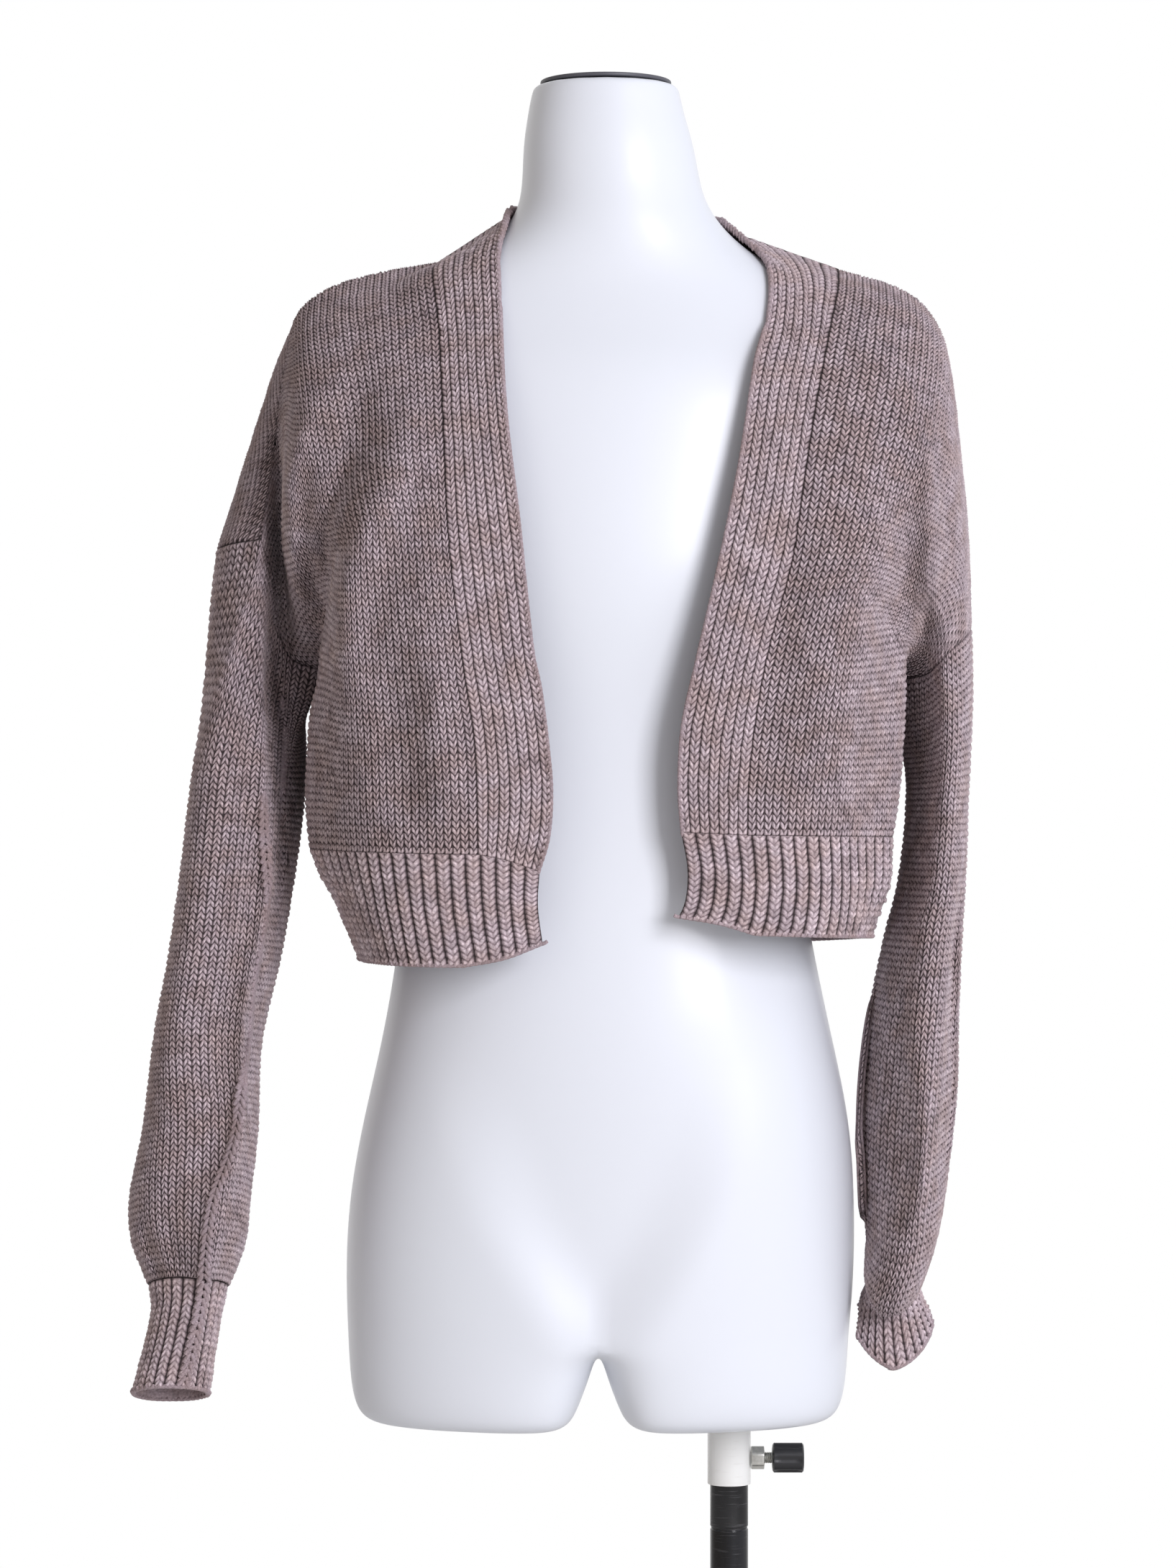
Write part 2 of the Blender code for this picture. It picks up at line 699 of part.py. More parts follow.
class Cloth:
    """One piece of the cloth: a grid of its outer face, with directions out of it."""

    def __init__(self, name, surface, s, t, ribs=None, rib_height=0.0, around=False):
        self.name = name
        self.around = around
        self.face, self.out = surface.read(s, t)
        self.ribs = ribs
        self.rib_height = rib_height
        self.outward = surface.outward

    def edge_slots(self):
        """Row and column of each point on the piece's edges."""
        rows, cols = self.face.shape[:2]
        slots = [(r, c) for r in (0, rows - 1) for c in range(cols)]
        if not self.around:
            slots += [(r, c) for c in (0, cols - 1) for r in range(1, rows - 1)]
        return slots

    def trim(self):
        """Draw the edges in by half of the seam's gap, square to the seam's wall."""
        face, out = self.face, self.out
        moved = face.copy()
        moved[0] += drawn_in(face[0], face[1], out[0], self.around)
        moved[-1] += drawn_in(face[-1], face[-2], out[-1], self.around)
        if not self.around:
            moved[:, 0] += drawn_in(face[:, 0], face[:, 1], out[:, 0], False)
            moved[:, -1] += drawn_in(face[:, -1], face[:, -2], out[:, -1], False)
        self.face = moved

    def mesh(self):
        """A closed wall: ribbed or plain outside, plain inside."""
        outer = self.face.copy()
        if self.ribs is not None:
            outer -= self.out * ((1.0 - self.ribs) * self.rib_height)[None, :, None]
        inner = self.face - self.out * WALL
        rows, cols = outer.shape[:2]
        if self.around:
            cols -= 1
            outer, inner = outer[:, :cols], inner[:, :cols]
        points = np.vstack([outer.reshape(-1, 3), inner.reshape(-1, 3)])
        offset = rows * cols
        faces = []

        def slot(r, c):
            return r * cols + c % cols

        def end_wall(first, second):
            """Two triangles, split from the same outer point on both sides of a seam."""
            if (points[first] - points[second]) @ SPLIT_DIRECTION > 0:
                faces.append([first, second, second + offset])
                faces.append([first, second + offset, first + offset])
            else:
                faces.append([first, second, first + offset])
                faces.append([second, second + offset, first + offset])

        last = cols if self.around else cols - 1
        for r in range(rows - 1):
            for c in range(last):
                quad = [slot(r, c), slot(r, c + 1), slot(r + 1, c + 1), slot(r + 1, c)]
                faces.append(quad)
                faces.append([offset + k for k in reversed(quad)])
        for c in range(last):
            end_wall(slot(0, c + 1), slot(0, c))
            end_wall(slot(rows - 1, c), slot(rows - 1, c + 1))
        if not self.around:
            for r in range(rows - 1):
                end_wall(slot(r, 0), slot(r + 1, 0))
                end_wall(slot(r + 1, cols - 1), slot(r, cols - 1))
        if self.outward < 0:
            faces = [face[::-1] for face in faces]
        return points, faces


def share_edges(pieces, reach=0.010, same=0.0007):
    """Give the pieces that meet at a seam the same edge and one direction out of it."""
    edges = []
    for piece in pieces:
        slots = piece.edge_slots()
        spots = np.array([piece.face[slot] for slot in slots])
        outs = np.array([piece.out[slot] for slot in slots])
        edges.append((piece, slots, spots, outs))
    for piece, slots, spots, outs in edges:
        for slot, spot, own in zip(slots, spots, outs):
            body = [own] if not piece.around else []
            tubes = [own] if piece.around else []
            shared = [spot]
            for other, _, other_spots, other_outs in edges:
                if other is piece:
                    continue
                distance = np.linalg.norm(other_spots - spot, axis=1)
                nearest = distance.argmin()
                if distance[nearest] < reach:
                    group = tubes if other.around else body
                    group.append(other_outs[nearest])
                if distance[nearest] < same:
                    shared.append(other_spots[nearest])
            total = np.zeros(3)
            for group in (body, tubes):
                if group:
                    total += unit(np.sum(group, axis=0))
            if body and tubes:
                total += (0.0, 0.0, -ARMHOLE_DROP)
            piece.out[slot] = unit(total)
            piece.face[slot] = np.mean(shared, axis=0)


def seam_shares(first, second, first_count, second_count):
    """Shares along two curves that follow each other, with a row at their joint.

    The rows lie closer together towards the second curve's end.
    """
    a, b = length_of(first), length_of(second)
    joint = a / (a + b)
    low = np.linspace(0.0, joint, first_count + 1)
    return np.concatenate([low, joint + (1.0 - joint) * closing(second_count)[1:]])


def closing(count):
    """Shares from 0 to 1 that lie closer together towards 1."""
    return 1.0 - (1.0 - np.linspace(0.0, 1.0, count + 1)) ** ROW_CLOSING


SIDE_ROWS = 5
ARM_FRONT_ROWS = 8
ARM_BACK_ROWS = 12
SHOULDER_COLUMNS = 12
NECK_COLUMNS = 10
HEM_ROWS = 2
SLEEVE_ROWS = 14
CUFF_ROWS = 3


def half_lines(half):
    """Curves of one half of the garment."""
    lines = {name: curve(rows) for name, rows in half.items() if len(np.shape(rows)) == 2}
    band_low = lines["band_line"][1][0]
    lines["rib_top_side"] = quarter_round(band_low, half["side"][0])
    lines["hem_turn"] = quarter_round(half["hem"][-1], half["hem_side"])
    lines["hem_line"] = join(lines["hem"], lines["hem_turn"])
    lines["hem_side_line"] = curve((half["hem_side"], half["side"][0]))
    lines["rib_line"] = join(lines["rib_top"], lines["rib_top_side"])
    lines["far"] = join(lines["side"], lines["arm_front"])
    lines["far_back"] = join(lines["side"], lines["arm_back"])
    return lines


def half_pieces(side, half):
    """Front, band, front hem rib, sleeve and cuff of one half."""
    lines = half_lines(half)
    left = side == "left"
    outward = -1 if left else 1
    rows = seam_shares(lines["side"], lines["arm_front"], SIDE_ROWS, ARM_FRONT_ROWS)
    columns = np.linspace(0.0, 1.0, SHOULDER_COLUMNS + 1)
    front = patch(
        lines["band_line"], lines["far"], lines["rib_top_side"], lines["shoulder"],
        (rounded_x, rounded_y, ruled), (even, late, even), outward, nodes(rows[SIDE_ROWS]),
    )
    band_top = curve((half["front_edge"][-1], half["band_line"][-1]))
    band = patch(
        lines["front_edge"], lines["band_line"], lines["rib_top"], band_top,
        (ruled, ruled, ruled), (even, even, even), outward,
    )
    hem = patch(
        lines["hem_edge"], lines["hem_side_line"], lines["hem_line"], lines["rib_line"],
        (ruled, ruled, ruled), (even, even, even), outward,
    )
    armhole = join(lines["arm_front"], reverse(lines["arm_back"]))
    inner = 1 if left else -1
    sleeve_rows = LEFT_SLEEVE if left else RIGHT_SLEEVE
    cuff_rows = LEFT_CUFF if left else RIGHT_CUFF
    joint = length_of(lines["arm_front"]) / length_of(armhole)
    sleeve = tube(sleeve_rows, inner, armhole, nodes(joint))
    cuff = tube(cuff_rows, inner, end_roundness=CUFF_ROUNDNESS[side])
    for surface in (front, band, hem, sleeve, cuff):
        surface.shape(WALL + FORM_GAP)
    around = np.concatenate([
        joint * closing(ARM_FRONT_ROWS),
        1.0 - (1.0 - joint) * closing(ARM_BACK_ROWS)[-2::-1],
    ])
    band_shares, band_heights = rib_profile(BAND_RIBS)
    hem_shares, hem_heights = rib_profile(HEM_RIBS["front"])
    cuff_shares, cuff_heights = rib_profile(CUFF_RIBS)
    return lines, [
        Cloth(f"front_{side}", front, rows, columns),
        Cloth(f"front_band_{side}", band, rows, band_shares, band_heights, BAND_RIB_HEIGHT),
        Cloth(f"hem_rib_front_{side}", hem, np.linspace(0, 1, HEM_ROWS + 1), hem_shares,
              hem_heights, RIB_HEIGHT),
        Cloth(f"sleeve_{side}", sleeve, np.linspace(0, 1, SLEEVE_ROWS + 1), around,
              around=True),
        Cloth(f"cuff_{side}", cuff, np.linspace(0, 1, CUFF_ROWS + 1), cuff_shares,
              cuff_heights, RIB_HEIGHT, around=True),
    ]


def back_pieces(left, right):
    """Back, back hem rib and the band behind the neck."""
    neckline = curve((LEFT["shoulder"][0], *BACK_NECKLINE, RIGHT["shoulder"][0]))
    high = join(reverse(left["shoulder"]), neckline, right["shoulder"])
    rib_top = join(
        reverse(quarter_round(BACK_RIB_TOP, LEFT["side"][0])),
        quarter_round(BACK_RIB_TOP, RIGHT["side"][0]),
    )
    hem_line = join(
        reverse(quarter_round(BACK_HEM, LEFT["hem_side"])),
        quarter_round(BACK_HEM, RIGHT["hem_side"]),
    )
    rows = seam_shares(left["side"], left["arm_back"], SIDE_ROWS, ARM_BACK_ROWS)
    spans = [length_of(line) for line in (left["shoulder"], neckline, right["shoulder"])]
    marks = np.concatenate([[0.0], np.cumsum(spans)]) / sum(spans)
    back = patch(
        left["far_back"], right["far_back"], rib_top, high,
        (edges_mostly, edges_only, edges_mostly), (even, later, even), -1,
        nodes(rows[SIDE_ROWS]), nodes(marks[1], marks[2]),
    )
    hem = patch(
        left["hem_side_line"], right["hem_side_line"], hem_line, rib_top,
        (ruled, ruled, ruled), (even, even, even), -1,
    )
    neck_edge = curve((
        LEFT["front_edge"][-1], LEFT["neck_back"], BACK_NECK_MIDDLE,
        RIGHT["neck_back"], RIGHT["front_edge"][-1],
    ))
    left_end = curve((LEFT["shoulder"][0], LEFT["front_edge"][-1]))
    right_end = curve((RIGHT["shoulder"][0], RIGHT["front_edge"][-1]))
    neck = patch(
        neckline, neck_edge, left_end, right_end,
        (ruled, ruled, ruled), (even, even, even), 1,
    )
    for surface in (back, hem, neck):
        surface.shape(WALL + FORM_GAP)
    columns = np.concatenate([
        np.linspace(marks[0], marks[1], SHOULDER_COLUMNS, endpoint=False),
        np.linspace(marks[1], marks[2], NECK_COLUMNS, endpoint=False),
        np.linspace(marks[2], marks[3], SHOULDER_COLUMNS + 1),
    ])
    hem_shares, hem_heights = rib_profile(HEM_RIBS["back"])
    band_shares, band_heights = rib_profile(BAND_RIBS)
    return [
        Cloth("back", back, rows, columns),
        Cloth("hem_rib_back", hem, np.linspace(0, 1, HEM_ROWS + 1), hem_shares,
              hem_heights, RIB_HEIGHT),
        Cloth("back_neck_band", neck, np.linspace(0, 1, NECK_COLUMNS + 1), band_shares,
              band_heights, BAND_RIB_HEIGHT),
    ]


def new_object(name, mesh, collection, parent, location, material):
    thing = bpy.data.objects.new(name, mesh)
    thing.location = location
    thing.parent = parent
    mesh.materials.append(material)
    collection.objects.link(thing)
    return thing


def surface_finish(name, colour, roughness, metallic=0.0):
    material = bpy.data.materials.new(name)
    material.use_nodes = True
    shader = material.node_tree.nodes["Principled BSDF"]
    shader.inputs["Base Color"].default_value = (*colour, 1.0)
    shader.inputs["Roughness"].default_value = roughness
    shader.inputs["Metallic"].default_value = metallic
    return material


def mesh_from(name, points, faces):
    mesh = bpy.data.meshes.new(name)
    mesh.from_pydata([tuple(p) for p in points], [], faces)
    mesh.update()
    return mesh


def form_ring(z, middle, half, front, back, inset=0.0):
    """Cage points of the form at one height, from the front's middle over the right."""
    ring = []
    for k in range(FORM_RING_POINTS):
        angle = -math.pi / 2 + k * 2 * math.pi / FORM_RING_POINTS
        c, s = math.cos(angle), math.sin(angle)
        power = 2.0 / FORM_ROUNDNESS
        depth = (front if s < 0 else back) - inset
        x = middle + math.copysign(abs(c) ** power, c) * (half - inset) * CAGE_SWELL
        y = math.copysign(abs(s) ** power, s) * depth * CAGE_SWELL
        ring.append((x, y, z))
    return ring


def build_form(collection, parent, material):
    """The dress form: one smooth body from a coarse cage, with a neck and two thigh stubs."""
    count = FORM_RING_POINTS
    points, faces = [], []
    rings = [form_ring(*row) for row in FORM_SECTIONS]
    for ring in rings:
        points += ring
    for r in range(len(rings) - 1):
        for k in range(count):
            a, b = r * count + k, r * count + (k + 1) % count
            faces.append([a, a + count, b + count, b])
    faces.append(list(range(count)))
    last = (len(rings) - 1) * count
    half = count // 2
    z, middle, hips, front, back = FORM_SECTIONS[-1]
    strip = []
    for share in (0.75, 0.5, 0.25):
        strip.append(len(points))
        points.append((middle, -front + (front + back) * share, CROTCH_HEIGHT))
    for sign in (1, -1):
        order = range(half + 1) if sign > 0 else [0] + list(range(count - 1, half - 1, -1))
        ring_slots = [last + k for k in order] + strip
        for height, inset, gap in THIGH_SECTIONS:
            ring = form_ring(height, middle, hips, front, back, inset)
            slots = []
            for n, k in enumerate(order):
                x, y, _ = ring[k]
                if n in (0, half):
                    x = middle + sign * (gap + STUB_INNER_EDGE)
                    y *= STUB_INNER_DEPTH
                slots.append(len(points))
                points.append((x, y, height))
            for share in (0.75, 0.5, 0.25):
                slots.append(len(points))
                points.append((middle + sign * gap, -front + (front + back) * share, height))
            total = len(slots)
            for k in range(total):
                quad = [ring_slots[k], slots[k], slots[(k + 1) % total],
                        ring_slots[(k + 1) % total]]
                faces.append(quad if sign > 0 else quad[::-1])
            ring_slots = slots
        cap = ring_slots[::-1]
        faces.append(cap if sign > 0 else cap[::-1])
    mesh = mesh_from("dress_form", points, faces)
    mesh.shade_smooth()
    form = new_object("dress_form", mesh, collection, parent, (FORM_X, 0.0, 0.0), material)
    rounding = form.modifiers.new("rounding", "SUBSURF")
    rounding.levels = 1
    rounding.render_levels = 1
    return form


def turned(name, profile, sides, collection, parent, location, material, axis="Z"):
    """A turned piece: a profile of radius and height, swept by a Screw modifier."""
    mesh = bpy.data.meshes.new(name)
    points = [(radius, 0.0, height) for radius, height in profile]
    mesh.from_pydata(points, [(i, i + 1) for i in range(len(points) - 1)], [])
    thing = new_object(name, mesh, collection, parent, location, material)
    sweep = thing.modifiers.new("sweep", "SCREW")
    sweep.steps = sides
    sweep.render_steps = sides
    sweep.use_merge_vertices = True
    sweep.merge_threshold = 0.0001
    sweep.use_smooth_shade = True
    if axis == "X":
        thing.rotation_euler = (0.0, math.pi / 2, 0.0)
    return thing


def build_neck_cap(collection, parent, material):
    """The thin dark plate on top of the neck."""
    z, middle, half, _, _ = FORM_SECTIONS[0]
    radius = half - NECK_CAP_INSET
    turned("neck_cap", (
        (0.0, NECK_CAP_THICKNESS), (radius - NECK_CAP_BEVEL, NECK_CAP_THICKNESS),
        (radius, NECK_CAP_THICKNESS - NECK_CAP_BEVEL), (radius, 0.0), (0.0, 0.0),
    ), NECK_CAP_SIDES, collection, parent, (FORM_X + middle, 0.0, z + PART_GAP), material)


def build_stand(collection, stand, form_turn, knob_turn, finishes):
    """Base, pole, collar and clamp of the stand."""
    turned("stand_base", (
        (0.0, BASE_BOSS_HEIGHT), (BASE_BOSS_RADIUS - BASE_BEVEL, BASE_BOSS_HEIGHT),
        (BASE_BOSS_RADIUS, BASE_BOSS_HEIGHT - BASE_BEVEL), (BASE_BOSS_RADIUS, BASE_THICKNESS),
        (BASE_RADIUS - BASE_BEVEL, BASE_THICKNESS), (BASE_RADIUS, BASE_THICKNESS - BASE_BEVEL),
        (BASE_RADIUS, 0.0), (0.0, 0.0),
    ), BASE_SIDES, collection, stand, (0, 0, 0), finishes["black"])
    turned("stand_pole", (
        (0.0, POLE_TOP), (POLE_RADIUS - POLE_BEVEL, POLE_TOP),
        (POLE_RADIUS, POLE_TOP - POLE_BEVEL), (POLE_RADIUS, BASE_BOSS_HEIGHT + PART_GAP),
        (0.0, BASE_BOSS_HEIGHT + PART_GAP),
    ), POLE_SIDES, collection, stand, (0, 0, 0), finishes["black"])
    bore = POLE_RADIUS + PART_GAP
    bore_end = POLE_TOP + 2 * PART_GAP
    turned("stand_collar", (
        (0.0, COLLAR_TOP), (COLLAR_OUTER, COLLAR_TOP),
        (COLLAR_OUTER, COLLAR_BOTTOM + SMALL_BEVEL), (COLLAR_OUTER - SMALL_BEVEL, COLLAR_BOTTOM),
        (bore, COLLAR_BOTTOM), (bore, bore_end), (0.0, bore_end),
    ), COLLAR_SIDES, collection, form_turn, (0, 0, 0), finishes["white"])
    screw_gap = SCREW_RADIUS + SCREW_CLEARANCE
    nut_start = COLLAR_OUTER + PART_GAP
    turned("clamp_nut", (
        (screw_gap, NUT_LENGTH), (NUT_RADIUS - SMALL_BEVEL, NUT_LENGTH),
        (NUT_RADIUS, NUT_LENGTH - SMALL_BEVEL), (NUT_RADIUS, 0.0), (screw_gap, 0.0),
        (screw_gap, NUT_LENGTH),
    ), NUT_SIDES, collection, form_turn, (nut_start, 0, CLAMP_Z), finishes["steel"], "X")
    turned("clamp_screw", (
        (0.0, SCREW_LENGTH), (SCREW_RADIUS, SCREW_LENGTH), (SCREW_RADIUS, 0.0), (0.0, 0.0),
    ), SCREW_SIDES, collection, knob_turn, (SCREW_START, 0, 0), finishes["steel"], "X")
    build_knob(collection, knob_turn, finishes["black"])


def build_knob(collection, parent, material):
    """The clamp's faceted knob, with its grip cut by flats."""
    mesh = bpy.data.meshes.new("clamp_knob")
    grid = bmesh.new()
    bmesh.ops.create_cone(
        grid, cap_ends=True, segments=KNOB_FACETS, radius1=KNOB_RADIUS, radius2=KNOB_RADIUS,
        depth=KNOB_LENGTH,
    )
    bmesh.ops.translate(grid, verts=grid.verts, vec=(0, 0, KNOB_LENGTH / 2))
    grid.to_mesh(mesh)
    grid.free()
    start = SCREW_START + SCREW_LENGTH + PART_GAP
    knob = new_object("clamp_knob", mesh, collection, parent, (start, 0, 0), material)
    knob.rotation_euler = (0.0, math.pi / 2, 0.0)
    edges = knob.modifiers.new("edges", "BEVEL")
    edges.width = KNOB_BEVEL
    edges.segments = 1
    edges.limit_method = "ANGLE"
    return knob


def main():
    for thing in list(bpy.data.objects):
        bpy.data.objects.remove(thing, do_unlink=True)
    collection = bpy.data.collections.new("cropped_cardigan_on_dress_form")
    bpy.context.scene.collection.children.link(collection)
    empties = {}
    for name, parent, location in (
        ("stand", None, (0, 0, 0)),
        ("form_turn", "stand", (0, 0, 0)),
        ("knob_turn", "form_turn", (COLLAR_OUTER + PART_GAP, 0, CLAMP_Z)),
    ):
        empty = bpy.data.objects.new(name, None)
        empty.location = location
        empty.parent = empties.get(parent)
        collection.objects.link(empty)
        empties[name] = empty
    finishes = {
        "black": surface_finish("black_paint", (0.012, 0.012, 0.013), 0.3),
        "white": surface_finish("white_paint", (0.86, 0.86, 0.88), 0.25),
        "steel": surface_finish("zinc_steel", (0.6, 0.6, 0.58), 0.35, 1.0),
        "knit": surface_finish("mauve_knit", (0.33, 0.255, 0.26), 0.95),
    }
    left, left_pieces = half_pieces("left", LEFT)
    right, right_pieces = half_pieces("right", RIGHT)
    pieces = left_pieces + right_pieces + back_pieces(left, right)
    share_edges(pieces)
    for piece in pieces:
        piece.trim()
        points, faces = piece.mesh()
        mesh = mesh_from(piece.name, points, faces)
        new_object(piece.name, mesh, collection, empties["form_turn"], (FORM_X, 0, 0),
                   finishes["knit"])
    build_form(collection, empties["form_turn"], finishes["white"])
    build_neck_cap(collection, empties["form_turn"], finishes["black"])
    build_stand(collection, empties["stand"], empties["form_turn"], empties["knob_turn"],
                finishes)


main()
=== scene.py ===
# Cropped knitted cardigan on a limbless dress form and its clamped stand.
# The code works in metres. Tables of the cloth and the form are in millimetres: x from the
# form's middle line, y from its middle plane (the front is -y) and z from the floor.
import bmesh
import bpy
import math
import numpy as np
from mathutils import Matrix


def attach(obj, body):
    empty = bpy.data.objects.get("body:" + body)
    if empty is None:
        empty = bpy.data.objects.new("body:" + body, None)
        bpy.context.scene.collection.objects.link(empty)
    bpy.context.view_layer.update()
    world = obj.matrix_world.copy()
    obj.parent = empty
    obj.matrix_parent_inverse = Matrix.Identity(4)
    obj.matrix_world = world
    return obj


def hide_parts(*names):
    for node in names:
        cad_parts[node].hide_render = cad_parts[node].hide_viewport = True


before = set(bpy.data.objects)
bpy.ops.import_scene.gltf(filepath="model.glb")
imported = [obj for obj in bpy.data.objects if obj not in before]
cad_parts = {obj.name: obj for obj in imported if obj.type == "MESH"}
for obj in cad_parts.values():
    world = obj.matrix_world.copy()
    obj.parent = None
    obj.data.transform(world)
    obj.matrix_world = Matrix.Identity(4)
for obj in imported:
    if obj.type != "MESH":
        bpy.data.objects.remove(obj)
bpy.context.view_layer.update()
print("frame:", len(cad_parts), "nodes")


def addObject(name, data):
    piece = bpy.data.objects.new(name, data)
    bpy.context.scene.collection.objects.link(piece)
    return piece


# Camera: straight on at chest height, as far off as the picture's taper tells
camera = {"lookAt": (-0.0927, 0.0, 1.1285), "distance": 2.95, "halfHeight": 0.515}

eye = bpy.data.cameras.new("frontCamera")
eye.sensor_fit = "VERTICAL"
eye.angle = 2 * math.atan(camera["halfHeight"] / camera["distance"])
eyeObject = addObject("frontCamera", eye)
eyeObject.location = (camera["lookAt"][0], -camera["distance"], camera["lookAt"][2])
eyeObject.rotation_euler = (math.pi / 2, 0.0, 0.0)
bpy.context.scene.camera = eyeObject

wall = 0.003  # the knit's thickness
formGap = 0.0024  # room between the cloth and the form
formX = -0.085  # the form's middle line in the frame
formBottom = 0.710
neckTop = 1.587
poleRadius = 0.0125
poleTop = 0.705
collarOuter = 0.0142
collarBottom = 0.669
clampZ = 0.686


def metres(rows, angles=0):  # a table of millimetres in metres, but for its last columns
    table = np.array(rows, float)
    table[..., :table.shape[-1] - angles] /= 1000.0
    return table

# Dress form: height, middle, half width, depth to the front, depth to the back
formSections = metres(((1587, 4, 42, 44, 44), (1584, 4, 44.5, 46, 46),
    (1568, 4, 47.5, 49, 49), (1545, 6, 53, 54, 54), (1515, 8, 58.5, 60, 60),
    (1495, 10, 68, 64, 66), (1475, 9, 90, 65, 71), (1457, 7, 130, 67, 77),
    (1440, 5, 161, 72, 81), (1415, 4, 180, 82, 91), (1385, 3, 185, 96, 97),
    (1270, 1, 149, 110, 88), (1200, 0, 129, 96, 80), (1130, 0, 120, 87, 78),
    (990, 5, 140, 95, 95), (915, 5, 159, 97, 107), (853, 1, 166.5, 95, 110),
    (800, 0, 166.5, 92, 104), (768, -1, 164, 90, 98)))
formRoundness = 2.25
formRingPoints = 16

# Thigh stubs: height, inset of the outline, half width of the gap between them
thighSections = metres(((744, 1, 5), (722, 4, 13), (711.5, 12, 19), (710, 30, 38)))
crotchHeight = 0.762
stub = {"innerEdge": 0.006, "innerDepth": 0.93}

# Seams and edges of the left half in the front view: x, y, z, from the hem up or from the
# neck out
leftHalf = {
    "hemEdge": ((-36, -118, 1027), (-39, -119, 1052), (-38, -120, 1073)),
    "frontEdge": ((-38, -120, 1073), (-32, -122, 1094), (-30, -124, 1123),
        (-32, -125, 1150), (-37, -126, 1189), (-41, -126, 1208), (-51, -124, 1297),
        (-60, -110, 1369), (-63, -84, 1422), (-64, -55, 1466), (-60, -30, 1492),
        (-54, 6, 1507)),
    "bandLine": ((-77, -123, 1084), (-79, -125, 1154), (-86, -126, 1203), (-96, -122, 1287),
        (-99, -107, 1348), (-103, -78, 1412), (-105, -48, 1446), (-106, -2, 1472)),
    "shoulder": ((-106, -2, 1472), (-150, -4, 1464), (-177, -7, 1455), (-197, -14, 1439),
        (-206, -30, 1398), (-212, -45, 1345), (-218, -56, 1287)),
    "side": ((-187, 4, 1087), (-190, 4, 1112), (-187, 6, 1160), (-184, 8, 1203)),
    "armFront": ((-184, 8, 1203), (-203, -2, 1211), (-211, -12, 1230), (-214, -31, 1260),
        (-218, -56, 1287)),
    "armBack": ((-184, 8, 1203), (-188, 37, 1220), (-204, 71, 1245), (-232, 64, 1259),
        (-247, 34, 1275), (-252, -2, 1281), (-243, -36, 1284), (-218, -56, 1287)),
    "hem": ((-36, -118, 1027), (-60, -121, 1018), (-86, -120, 1013)),
    "ribTop": ((-38, -120, 1073), (-58, -123, 1080), (-77, -123, 1084)),
    "hemSide": (-158, 4, 1014),
    "neckBack": (-40, 46, 1512),
}

# The same of the right half
rightHalf = {
    "hemEdge": ((49, -117, 1044), (53, -118, 1053), (55, -118, 1073), (51, -119, 1098)),
    "frontEdge": ((51, -119, 1098), (49, -120, 1124), (51, -122, 1164), (60, -123, 1206),
        (74, -122, 1266), (87, -115, 1328), (99, -93, 1399), (108, -64, 1435),
        (104, -34, 1469), (90, -12, 1486), (75, 10, 1497)),
    "bandLine": ((93, -119, 1096), (94, -122, 1134), (104, -123, 1203), (121, -119, 1270),
        (129, -113, 1321), (137, -98, 1368), (148, -66, 1422), (155, -36, 1452),
        (157, -3, 1467)),
    "shoulder": ((157, -3, 1467), (193, 0, 1457), (212, 3, 1446), (226, 7, 1426),
        (232, 12, 1400), (236, 20, 1357), (240, 26, 1310), (243, 30, 1232)),
    "side": ((183, 2, 1094), (187, 2, 1117), (190, 2, 1155), (191, 4, 1196)),
    "armFront": ((191, 4, 1196), (205, -36, 1200), (220, -58, 1211), (236, -42, 1222),
        (244, -8, 1230), (243, 30, 1232)),
    "armBack": ((191, 4, 1196), (197, 38, 1211), (209, 68, 1223), (226, 77, 1229),
        (239, 58, 1231), (243, 30, 1232)),
    "hem": ((49, -117, 1044), (74, -120, 1040), (98, -119, 1033)),
    "ribTop": ((51, -119, 1098), (72, -120, 1097), (93, -119, 1096)),
    "hemSide": (178, 2, 1028),
    "neckBack": (53, 46, 1503),
}
leftHalf, rightHalf = ({name: metres(rows) for name, rows in half.items()}
                       for half in (leftHalf, rightHalf))

# Back edges: the middle of the hem, of the rib's top and of the neckline
backHem = metres((15, 98, 1018))
backRibTop = metres((2, 106, 1086))
backNeckline = metres(((-78, 46, 1470), (12, 78, 1462), (118, 44, 1462)))
backNeckMiddle = metres((9, 64, 1512))
sectionRoundness = 2.5

# Sleeves: height, middle x, middle y, half width, half depth, then the ring's turn and tilt
# in degrees
leftSleeve = metres(((1245, -222, 6, 28, 68, -12, 0), (1200, -227, 4, 29, 73, -15, 0),
    (1140, -229.5, 1, 30, 75, -16, 0), (1090, -234.5, -3, 31, 72, -16, 2),
    (1020, -244.5, -9, 32, 68, -14, 4), (960, -256, -16, 33, 64, -10, 7),
    (905, -260, -23, 37, 60, -5, 10), (858, -266.5, -31, 39.5, 54, 0, 13),
    (832, -267, -36, 37.5, 47, 0, 15), (814, -266.5, -40, 31, 36, 0, 16),
    (804, -266.5, -42, 26.5, 30, 0, 16)), angles=2)
leftCuff = metres(((803.5, -266.5, -42, 26, 29.5, 0, 16), (790, -267, -45, 23.5, 28, 0, 16),
    (770, -270, -51, 23.5, 28, 0, 16), (736, -276.5, -60, 25.5, 30, 0, 16)), angles=2)
